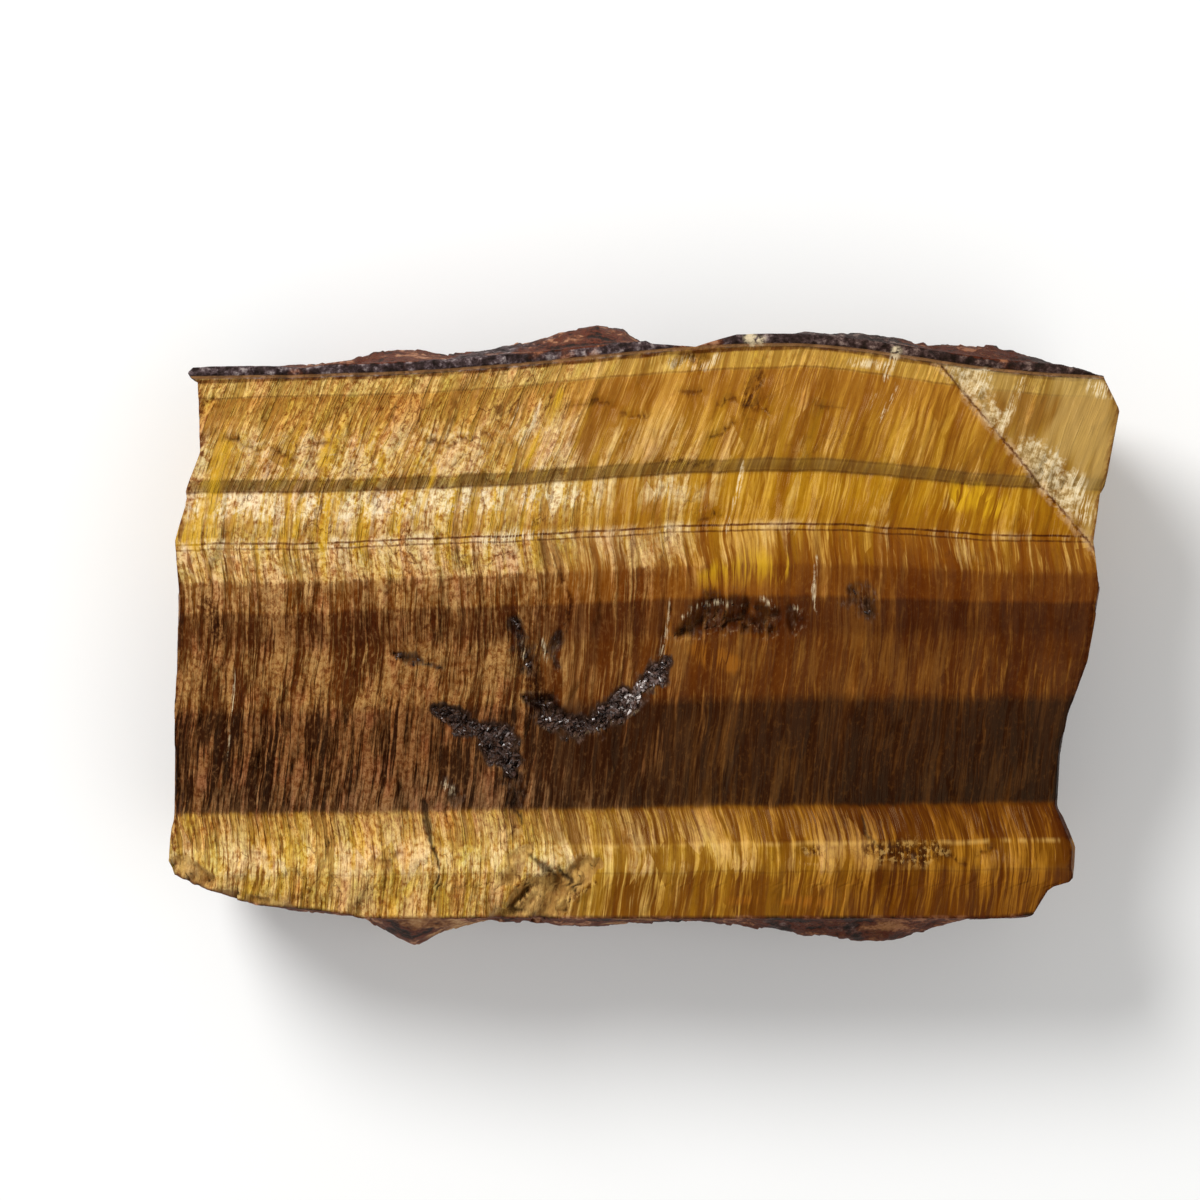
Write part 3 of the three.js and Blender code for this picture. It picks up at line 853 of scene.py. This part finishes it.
stonePaints = {
    # these multiply what lies under them
    "amberShade": (200, 174, 138), "silkEast": (250, 234, 166), "silkShade": (200, 172, 132),
    "pinkTinge": (255, 238, 246), "oliveTinge": (238, 246, 210), "grainShade": (190, 150, 110),
    "ruleShade": (170, 120, 62), "gritShade": (176, 128, 88), "gapShade": (152, 116, 78),
    "fissureShade": (126, 84, 54), "farEastShade": (204, 184, 156), "crestShade": (238, 230, 200),
    "lowEastShade": (218, 196, 156), "lineShade": (120, 72, 40), "seamShadow": (128, 84, 56),
    "snapShadowColour": (132, 84, 52), "rimShade": (156, 104, 76), "wallShade": (216, 196, 182),
    "stainShade": (118, 76, 52),
    # and these cover it
    "goldenThread": (204, 156, 30), "goldenSilk": (212, 168, 32), "creamHighlight": (240, 224, 188),
    "creamGlintSpeck": (246, 234, 206), "crestLine": (222, 178, 96), "seamMargin": (208, 172, 128),
    "goldStreak": (208, 160, 26), "amberStreak": (148, 88, 20), "chipShadedFacet": (128, 84, 36),
    "chipLitFacet": (234, 192, 112), "chipDust": (128, 86, 44), "crackAndShadowDark": (44, 27, 18),
    "groove": (150, 108, 66), "glint": (212, 170, 96), "smearAndGlintColour": (234, 214, 174),
}
stoneRamps = {  # from dark to light
    "dull": [(0.4, (132, 108, 52)), (0.6, (174, 142, 80))],
    "crumbs": [(0.38, (146, 118, 74)), (0.48, (190, 164, 116)), (0.62, (222, 204, 166))],
    "murk": [(0.36, (24, 15, 11)), (0.52, (52, 35, 27)), (0.66, (88, 68, 58))],
}


def paint(name):
    return srgb(*stonePaints[name])


def readMasks(tree, streaks, blocks):  # what the stone's colours are mixed by
    on = SimpleNamespace()
    layers = ("band", "fibreX", "fibreZ", "bundle", "past", "strip", "face", "rock", "rust", "tan", "crumbs",
              "gold", "facet", "chip", "broken", "lining", "crack", "rim", "stain", "pale")
    for layer in layers:
        made = node(tree, "ShaderNodeAttribute", attribute_name=layer)
        setattr(on, layer, made.outputs["Fac"])
    on.position = node(tree, "ShaderNodeTexCoord").outputs["Object"]
    on.along = node(tree, "ShaderNodeSeparateXYZ", {"Vector": on.position}).outputs["X"]
    # pointiness makes ridges paler and creases darker through the silky share: painted highlight and shade
    on.pointed = node(tree, "ShaderNodeNewGeometry").outputs["Pointiness"]

    # fibres stray a little, so streaks aren't ruled lines
    slow = noise(vector(times(on.fibreX, 0.14), times(on.band, 0.09), times(on.fibreZ, 0.14)), 1.0, 2.0)
    on.quick = noise(vector(times(on.fibreX, 0.6), times(on.band, 0.28), times(on.fibreZ, 0.6)), 1.0, 2.0)
    slowly, finely = stoneLook["wander"]
    on.course = total(on.fibreX, centred(slow, slowly), centred(on.quick, finely))
    for made, rows in ((streaks, stoneLook["streaks"]), (blocks, stoneLook["blocks"])):
        for name, (width, length, start) in rows.items():
            pattern = place(tree, made, {"Fibre X": total(on.course, start), "Band": on.band,
                                         "Fibre Z": on.fibreZ, "Width": width, "Length": length})
            setattr(on, name, pattern[0])
    over, down = stoneLook["grain"]
    on.grain = noise(vector(times(on.course, over), times(on.band, down), times(on.fibreZ, over)), 1.0, 5.0,
                     0.7)
    on.grit = noise(on.position, stoneLook["grit"], 3.0, 0.65)

    # bands with edges that sway and fray
    sway = noise(vector(times(on.fibreX, 0.12), times(on.band, 0.05), times(on.fibreZ, 0.05)), 1.0, 3.0)
    on.calm = varied(on, on.band, centred(sway, bands["sway"]), thread=0.12)
    bottom, top = slab["vein"]
    jitter = remap(on.band, -26, -18, bands["lowJitter"], bands["jitter"])
    on.share = remap(total(on.calm, times(total(on.cord, on.thread, -1.0), jitter)), bottom - 1, top + 1)
    on.soft = inverted(on.rock)
    on.darkBands = around(on.band, *stoneLook["darkBands"])
    on.lightBands = inverted(on.darkBands)
    on.darkest = around(on.band, *stoneLook["darkest"])

    # the right half is split smooth, so it shows clear amber and few silky fibres; the left half's extra
    # silky sheen is partly painted light
    east = total(on.along, centred(on.sweep, 0.07), times(on.darkest, 0.005))
    on.east = times(remap(east, *stoneLook["east"], smooth=True), remap(on.face, 0, 1, 0.55, 1))
    on.west = inverted(on.east)
    on.farEast = remap(on.along, *stoneLook["farEast"], smooth=True)
    on.farWest = remap(on.along, *stoneLook["farWest"])
    on.rough = remap(on.east, 0, 1, 1.0, 0.35)
    return on


def acrossVein(on, stops):  # a colour ramp from wall to wall
    bottom, top = slab["vein"]
    low, high = bottom - 1, top + 1
    return ramp(on.share, [((at - low) / (high - low), value) for at, value in stops])


def silkAndSheenShare(on, amounts):  # how much of the surface is split, silky fibres with their painted sheen
    streaky = varied(on, patch=0.8, cord=1.6, thread=2.8, hair=1.4)
    patchy = varied(on, patch=1.6, wide=0.5, slim=0.36, thread=1.0)
    grainy = remap(amounts["Blue"], 0.0, 0.4)
    flecks = total(times(streaky, inverted(grainy)), times(patchy, grainy))
    flecks = times(flecks, remap(on.east, 0, 1, 1.0, 0.65), remap(times(on.east, on.darkest), 0, 1, 1, 0.5),
                   remap(on.along, *stoneLook["farWest"], 1, 1.35))
    # this share is partly painted sheen: raised on the left and far left, where the light comes from, and
    # lowered far right
    glow = around(on.along, *stoneLook["glow"], smooth=True)
    silkAndSheen = varied(on, times(amounts["Red"], on.west), times(amounts["Green"], on.east),
                   times(on.farEast, -0.08), flecks, times(on.farWest, 0.1), times(glow, 0.18),
                   bundle=0.3, pointed=2.0)
    return remap(silkAndSheen, 0.2, 0.85)


def amberColour(on, amber, silkWithSheen, yellow):  # clear fibres, which vary softly from bundle to bundle
    deep = remap(varied(on, broad=1.0, cord=1.1, thread=0.8), -0.3, 0.3)
    colour = blend(deep, tinted(amber, paint("amberShade")), amber)
    # on the left the light bands are lifted towards the silk colour: painted light from the left
    colour = blend(times(on.west, on.lightBands, 0.22), colour, silkWithSheen)
    panels = varied(on, broad=0.9, wide=0.26, slim=0.26, thread=1.2, hair=0.9)
    panels = times(remap(panels, 0.0, 0.4, 0, 0.54), remap(on.darkBands, 0, 1, 1, 0.5),
                   remap(on.band, 19, 21, 1, 0.8),
                   remap(on.darkest, 0, 1, 1, 0.6),
                   around(on.band, 15, 2.6, 3.4, 1.2, 1),
                   around(on.band, -29, 2.4, 3.2, 1.4, 1))
    colour = blend(panels, colour, silkWithSheen)
    return blend(times(yellow, 0.5), colour, paint("goldenThread"))


def sheenedSilkColour(on, silkWithSheen, yellow, creamHighlights):  # split fibres with their painted sheen: grainy, tinged pink or olive, cream tips painted as highlights
    shade = remap(varied(on, on.grain, hair=0.4, thread=0.4), 0.36, 0.64, 0.0, 1.0)
    fuzzy = blend(shade, tinted(silkWithSheen, paint("silkShade")), silkWithSheen)
    olive = times(remap(on.tinge, 0.5, 0.34), on.lightBands)
    fuzzy = blend(remap(on.tinge, 0.5, 0.66), fuzzy, paint("pinkTinge"), "MULTIPLY")
    fuzzy = blend(olive, fuzzy, paint("oliveTinge"), "MULTIPLY")
    fuzzy = blend(times(yellow, 0.8), fuzzy, paint("goldenSilk"))
    # cream patches: painted highlights where split fibres catch the light
    creamHighlight = varied(on, grain=0.7, thread=0.7, wide=0.4, slim=0.26, patch=1.0)
    return blend(times(remap(creamHighlight, -0.06, 0.16), creamHighlights, 0.85), fuzzy, paint("creamHighlight"))


def addSpecks(on, colour, silkWithSheen, silkAndSheen, creamHighlights):  # grain, grit and ruled lines on the split fibres, and cream specks painted as glints
    colour = darken(times(remap(on.grain, 0.5, 0.36), on.rough, 0.6), colour, paint("grainShade"))
    colour = blend(times(remap(on.grain, 0.54, 0.66), on.rough, on.darkBands, 0.35), colour, silkWithSheen)
    speckled = times(silkAndSheen, on.rough, remap(on.band, -24, -20, 0.35, 1))
    ruled = times(silkAndSheen, on.rough, remap(on.band, -20, -24), remap(on.rule, 0.47, 0.36))
    colour = darken(times(ruled, 0.6), colour, paint("ruleShade"))
    colour = darken(times(speckled, remap(on.grit, 0.48, 0.38), 0.7), colour, paint("gritShade"))
    speckled = times(speckled, remap(creamHighlights, 0, 0.3))
    return blend(times(speckled, creamHighlights, remap(on.grit, 0.52, 0.62), 0.6), colour, paint("creamGlintSpeck"))


def addGaps(on, colour):  # dark gaps between bundles, and short cracks over them
    sparse = times(remap(on.band, 10, 14, 1.0, 0.5), remap(on.band, 23, 26, 1.0, 0.4),
                   remap(on.darkBands, 0, 1, 1, 0.45))
    gaps = times(remap(on.gap, 0.43, 0.33), on.rough, sparse)
    colour = darken(times(gaps, remap(on.farWest, 0, 1, 0.6, 0.9)), colour, paint("gapShade"))
    flakes = cells(vector(varied(on, times(on.course, 0.3), grain=0.5),
                          varied(on, times(on.band, 0.2), quick=1.6), times(on.fibreZ, 0.3)),
                   "Distance", feature="DISTANCE_TO_EDGE")
    fissures = times(remap(flakes, 0.0, 0.04, 1, 0), remap(on.patch, 0.52, 0.6), on.rough)
    return darken(times(fissures, remap(on.darkBands, 0, 1, 0.8, 0.35)), colour, paint("fissureShade"))


def shadeBands(on, colour):  # tones that run along the bands, a painted highlight along the lower ridge's crest, and thin dark lines
    colour = darken(times(on.farEast, remap(on.band, 8, 6), 0.5), colour, paint("farEastShade"))
    colour = darken(times(on.east, remap(on.band, 11.4, 12.4), remap(on.band, 19, 17.6)), colour,
                    paint("crestShade"))
    colour = darken(times(remap(on.along, -0.002, 0.03), remap(on.band, -20, -23)), colour,
                    paint("lowEastShade"))
    # painted highlight: a thin pale line along the lower ridge's crest, on the right half
    crest = times(around(on.calm, *stoneLook["crest"]), on.east,
                  remap(varied(on, on.cord, thread=0.8), 0.4, 0.6, 0, 0.36))
    colour = blend(crest, colour, paint("crestLine"))
    for at, width, much in bands["lines"]:
        line = around(on.calm, at, width, width * 2.4)
        fade = times(remap(on.quick, 0.3, 0.55, 0.35, 1), much)
        colour = darken(times(line, fade), colour, paint("lineShade"))
    return colour


def addCorner(on, colour):  # past its crack the bands are dull and crumbs lie along it; a dark line along the crack paints the crack and the shadow of its step
    dull = times(remap(on.past, 0.0, 0.4), remap(varied(on, on.broad, cord=0.5), 0.4, 0.6, 0.3, 0.75))
    colour = blend(dull, colour, painted(varied(on, on.broad, cord=0.8), stoneRamps["dull"]))
    crumbs = varied(on, times(on.crumbs, 0.9), grit=1.2, cord=1.6, thread=1.0)
    crumbs = times(remap(crumbs, 0.25, 0.7, 0, 0.85), remap(on.crumbs, 0.04, 0.3))
    colour = blend(crumbs, colour, painted(varied(on, on.grit, hair=0.4), stoneRamps["crumbs"]))
    seam = maths("ABSOLUTE", total(on.past, centred(on.grain, 0.9), -0.1))
    margin = times(remap(seam, 0.2, 1.0, 0.5, 0), remap(varied(on, on.grit, cord=0.8), 0.4, 0.56))
    colour = blend(margin, colour, paint("seamMargin"))
    # dark line along the crack: partly painted shadow of the corner's step
    line = times(remap(seam, 0.06, 0.26, 1, 0), remap(on.quick, 0.35, 0.55, 0.35, 0.85))
    return darken(line, colour, paint("seamShadow"))


def addBreaks(on, colour):  # gold streaks, chips with painted light and shade, painted shadows below snapped ends, crystal hollows, and open cracks with painted shadows by the scoops
    gold = times(on.gold, remap(varied(on, on.thread, slim=0.4, hair=0.8), 0.36, 0.62))
    goldTone = blend(remap(on.band, 6.5, 3.5), paint("goldStreak"), paint("amberStreak"))
    colour = blend(times(gold, 0.68), colour, goldTone)
    shards = cells(vector(varied(on, times(on.course, 0.8), grain=1.2),
                          varied(on, times(on.band, 0.45), grit=1.0), times(on.fibreZ, 0.8)), "Color")
    # chip flats toned by depth: partly painted shade on deep flats and painted light on raised ones
    flat = total(times(on.facet, 0.6), times(channels(shards)["Red"], 0.5), -0.05)
    flat = blend(flat, paint("chipShadedFacet"), paint("chipLitFacet"))
    flat = blend(remap(on.grain, 0.4, 0.6, 0.5, 0), flat, paint("chipDust"))
    colour = blend(remap(varied(on, on.chip, grain=0.8), 0.35, 0.6, 0, 0.75), colour, flat)
    # painted shadow just below each snapped line
    snapped = remap(varied(on, on.broken, grain=1.6, hair=0.8), 0.3, 0.8)
    colour = darken(times(snapped, 0.65), colour, paint("snapShadowColour"))
    lined = remap(varied(on, on.lining, grain=0.9), 0.18, 0.6, 0, 0.9)
    colour = blend(lined, colour, painted(on.grain, stoneRamps["murk"]))
    # near-black in open cracks, and painted shadow along the scoop paths
    colour = blend(times(on.crack, 0.85), colour, paint("crackAndShadowDark"))
    worn = times(on.rim, remap(varied(on, on.grain, thread=0.5), 0.58, 0.42, 0.3, 0.9))
    return darken(worn, colour, paint("rimShade"))


def addWalls(on, colour, wall):  # ironstone beyond the fibres, with a tan groove along the strip
    wall = darken(remap(on.along, -0.006, 0.03), wall, paint("wallShade"))
    groove = times(around(on.strip, 0.2, 0.06, 0.12, 0.8), on.face)
    return blend(on.rock, colour, blend(groove, wall, paint("groove")))


def addStains(on, colour):  # brown stains, some painted shadow lines by the lower scoops, with painted glints on them low down; and pale smears, partly painted glints
    stain = times(on.stain, remap(varied(on, on.grain, thread=0.7), 0.6, 0.42, 0.1, 0.85))
    colour = darken(stain, colour, paint("stainShade"))
    glints = times(on.stain, remap(varied(on, on.grit, grain=0.8), 0.53, 0.63, 0, 0.4), on.soft)
    colour = blend(times(glints, remap(on.band, -20, -24)), colour, paint("glint"))
    frayed = times(varied(on, on.grain, hair=1.6, thread=0.8), on.soft)
    pale = times(on.pale, remap(total(frayed, times(on.rock, on.grit, 1.3)), 0.48, 0.68))
    return blend(times(pale, 0.72), colour, paint("smearAndGlintColour"))


def makeStoneMaterial(streaks, blocks, wallGroup):
    material = bpy.data.materials.new("bandedTigersEye")
    material.use_nodes = True
    tree = material.node_tree
    tree.nodes.clear()
    on = readMasks(tree, streaks, blocks)

    amber = acrossVein(on, [(row[0], srgb(*row[1])) for row in bands["rows"]])
    silkWithSheen = acrossVein(on, [(row[0], srgb(*row[2])) for row in bands["rows"]])
    silkWithSheen = blend(remap(on.along, -0.012, 0.012, 0, 0.9), silkWithSheen, tinted(silkWithSheen, paint("silkEast")))
    amounts = channels(acrossVein(on, [(row[0], (*row[3:], 1)) for row in bands["rows"]]))
    creamHighlights = amounts["Blue"]
    silkAndSheen = silkAndSheenShare(on, amounts)
    yellow = channels(acrossVein(on, [(at, (much, much, much, 1)) for at, much in bands["yellow"]]))["Red"]
    yellow = times(yellow, remap(on.golden, 0.5, 0.64, smooth=True), remap(on.east, 0, 1, 1.0, 0.5))

    colour = amberColour(on, amber, silkWithSheen, yellow)
    colour = blend(silkAndSheen, colour, sheenedSilkColour(on, silkWithSheen, yellow, creamHighlights))
    colour = addSpecks(on, colour, silkWithSheen, silkAndSheen, creamHighlights)
    colour = addGaps(on, colour)
    colour = shadeBands(on, colour)
    colour = addCorner(on, colour)
    colour = addBreaks(on, colour)
    below = remap(on.strip, -4.0, -6.0)  # the lower wall, which is rusty and tan all along
    wall = place(tree, wallGroup, {
        "Position": on.position, "Rust": total(times(on.rust, 0.8), times(below, 0.5)),
        "Tan": times(total(on.tan, 0.08), below)})
    colour = addWalls(on, colour, wall["Color"])
    colour = addStains(on, colour)

    fibreHeight = total(times(on.hair, 0.5), times(on.thread, 0.9), times(on.cord, 0.6),
                        times(on.grain, silkAndSheen, 0.9), times(on.grit, silkAndSheen, 0.6))
    fibreBump = node(tree, "ShaderNodeBump", {
        "Height": fibreHeight, "Strength": times(on.soft, remap(on.east, 0, 1, 1, 0.45)),
        "Distance": stoneLook["fibreBump"] * mm})
    rockBump = node(tree, "ShaderNodeBump", {
        "Height": wall["Height"], "Strength": on.rock, "Distance": stoneLook["rockBump"] * mm,
        "Normal": fibreBump.outputs["Normal"]})
    roughness = remap(silkAndSheen, 0, 1, stoneLook["amberRoughness"], stoneLook["silkRoughness"])
    roughness = total(times(roughness, on.soft), times(on.rock, stoneLook["rockRoughness"]))
    shader = node(tree, "ShaderNodeBsdfPrincipled", {
        "Base Color": colour, "Roughness": roughness, "Normal": rockBump.outputs["Normal"],
        "Specular IOR Level": stoneLook["gloss"], "Specular Tint": stoneLook["glossTint"]})
    node(tree, "ShaderNodeOutputMaterial", {"Surface": shader.outputs["BSDF"]})
    return material


stone.data.materials.append(makeStoneMaterial(makeFibreStreaks(), makeFibreBlocks(), makeIronstone()))
print("stone material made")


crystals = {
    "count": 4200,
    "least": 0.1, "most": 0.5,  # mm across
    "slender": (0.9, 2.4),  # length for each mm across
    "lined": (0.24, 0.8),  # how much lining it takes for some of them, and for all
    "glintCentre": (0.0, -6.8, 3.4),  # x, y and reach of the whitest ones, in mm, whose white partly paints glints
    "shoulder": 0.75,  # share of the length at which the point starts
    "taper": 0.46, "point": 0.4,  # half width there and the point's height, for each mm across
    # how much paler a crystal is by chance, by its clump, and by how near the whitest ones it is, which
    # partly paints glints
    "scatter": 0.55, "clumps": 0.26, "glintWhitening": 0.62,
    "shades": [(0.0, (24, 15, 11)), (0.3, (50, 34, 28)), (0.55, (74, 55, 49)), (0.75, (118, 99, 94)),
               (0.92, (228, 218, 212))],
    "dust": 1400, "rusty": (78, 49, 30),  # specks per metre and their colour
}


def makeCrystals():
    chance = np.random.default_rng(7)
    mesh = stone.data
    lining = np.zeros(len(mesh.vertices))
    mesh.attributes["lining"].data.foreach_get("value", lining)
    depths = np.array([min(lining[v] for v in p.vertices) for p in mesh.polygons])
    spots = np.flatnonzero(chance.random(len(depths)) < smoothstep(depths, *crystals["lined"]) ** 2)
    brightX, brightY, reach = crystals["glintCentre"]
    glintSpot = Vector((brightX * mm + slabShift.x, brightY * mm + slabShift.y))
    sides = 6
    turns = np.arange(sides) * math.pi / (sides / 2)
    points, faces, shades = [], [], []
    for _ in range(crystals["count"]):
        chosen = spots[chance.integers(len(spots))]
        spot = mesh.polygons[chosen]
        inward = float(smoothstep(depths[chosen], *crystals["lined"]))  # they are smaller at the rims
        wide = lerp(crystals["least"], crystals["most"], chance.random() ** 3) * lerp(0.5, 1.1, inward) * mm
        long = wide * chance.uniform(*crystals["slender"])
        axis = (spot.normal + Vector(chance.normal(0, 1.0, 3))).normalized()
        turned = axis.to_track_quat("Z", "Y").to_matrix()
        spin = turns + chance.uniform(0, math.pi)
        corners = [mesh.vertices[v].co for v in spot.vertices[:3]]
        a, b = chance.random(2) * 0.9
        foot = corners[0] + (corners[1] - corners[0]) * a + (corners[2] - corners[0]) * b - axis * wide * 0.5
        first = len(points)
        for height, radius in ((0, wide * 0.5), (long * crystals["shoulder"], wide * crystals["taper"])):
            points += [foot + turned @ Vector((radius * math.cos(turn), radius * math.sin(turn), height))
                       for turn in spin]
        points += [foot, foot + turned @ Vector((0, 0, long + wide * crystals["point"]))]
        near = math.exp(-((spot.center.xy - glintSpot).length / (reach * mm)) ** 2)
        cluster = smoothNoise([np.array(part) for part in spot.center.xy / (1.7 * mm)], 191)
        own = crystals["scatter"] * chance.random() ** 2.6 + crystals["clumps"] * float(cluster)
        shades += [own * lerp(0.5, 1.0, inward) + near * crystals["glintWhitening"]] * (2 * sides + 2)
        for i in range(sides):
            low, nextLow = first + i, first + (i + 1) % sides
            high, nextHigh = low + sides, nextLow + sides
            middle, tip = first + 2 * sides, first + 2 * sides + 1
            faces += [(low, nextLow, nextHigh), (low, nextHigh, high), (high, nextHigh, tip),
                      (nextLow, low, middle)]
    piece = meshFrom("hollowCrystals", np.array(points), np.array(faces), {"shade": np.array(shades)})
    piece.data.shade_flat()
    return piece


def makeCrystalMaterial():
    material = bpy.data.materials.new("greyCrystals")
    material.use_nodes = True
    tree = material.node_tree
    tree.nodes.clear()
    shade = node(tree, "ShaderNodeAttribute", attribute_name="shade").outputs["Fac"]
    position = node(tree, "ShaderNodeTexCoord").outputs["Object"]
    dust = noise(position, crystals["dust"])
    colour = painted(shade, crystals["shades"])
    colour = blend(remap(dust, 0.42, 0.64, 0, 0.75), colour, srgb(*crystals["rusty"]))
    bump = node(tree, "ShaderNodeBump", {"Height": dust, "Strength": 0.3, "Distance": 0.05 * mm})
    shader = node(tree, "ShaderNodeBsdfPrincipled", {
        "Base Color": colour, "Roughness": remap(dust, 0.35, 0.65, 0.16, 0.46),
        "Normal": bump.outputs["Normal"], "Specular IOR Level": 0.6})
    node(tree, "ShaderNodeOutputMaterial", {"Surface": shader.outputs["BSDF"]})
    return material


lining = makeCrystals()
lining.data.materials.append(makeCrystalMaterial())
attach(lining, "root")
print("crystals:", len(lining.data.polygons), "faces")


studio = {
    "floorSize": 4.0,
    "viewWidth": 0.15,  # width that the picture covers at the face
    "viewMiddle": (-5.44, 4.56),  # in the slab's millimetres
    "distance": 0.5,
    "sensor": 36.0,
    "world": 0.46,
    "floor": (0.86, 0.86, 0.85, 1),
    # direction from the stone, distance and size in metres, and watts
    "lamps": {"key": ((-0.55, 0.62, 0.85), 0.9, 0.4, 7.0), "fill": ((0.5, -0.3, 1.0), 1.2, 1.0, 3.4)},
}


def makeFloor():
    half = studio["floorSize"] / 2
    points = np.array([(-half, -half, 0), (half, -half, 0), (half, half, 0), (-half, half, 0)])
    floor = meshFrom("floor", points, np.array([[0, 1, 2, 3]]))
    material = bpy.data.materials.new("paleFloor")
    material.use_nodes = True
    shader = material.node_tree.nodes["Principled BSDF"]
    shader.inputs["Base Color"].default_value = studio["floor"]
    shader.inputs["Roughness"].default_value = 0.9
    floor.data.materials.append(material)


def makeLamp(name, direction, distance, size, power):
    data = bpy.data.lights.new(name, "AREA")
    data.shape = "DISK"
    data.size = size
    data.energy = power
    lamp = bpy.data.objects.new(name, data)
    away = Vector(direction).normalized()
    lamp.location = away * distance
    lamp.rotation_euler = away.to_track_quat("Z", "Y").to_euler()
    bpy.context.scene.collection.objects.link(lamp)


def makeCamera():
    data = bpy.data.cameras.new("camera")
    data.sensor_width = studio["sensor"]
    data.lens = studio["sensor"] * studio["distance"] / studio["viewWidth"]
    data.clip_start = 0.01
    camera = bpy.data.objects.new("camera", data)
    middle = Vector((*studio["viewMiddle"], slab["faceCrest"] - 2)) * mm + slabShift
    camera.location = middle + Vector((0, 0, studio["distance"]))
    bpy.context.scene.collection.objects.link(camera)
    bpy.context.scene.camera = camera


def makeWorld():
    world = bpy.data.worlds.new("studio")
    world.use_nodes = True
    background = world.node_tree.nodes["Background"].inputs
    background["Color"].default_value = (1, 1, 1, 1)
    background["Strength"].default_value = studio["world"]
    bpy.context.scene.world = world


makeFloor()
for name, lamp in studio["lamps"].items():
    makeLamp(name, *lamp)
makeCamera()
makeWorld()
bpy.context.scene.view_settings.view_transform = "Standard"
print("studio set")
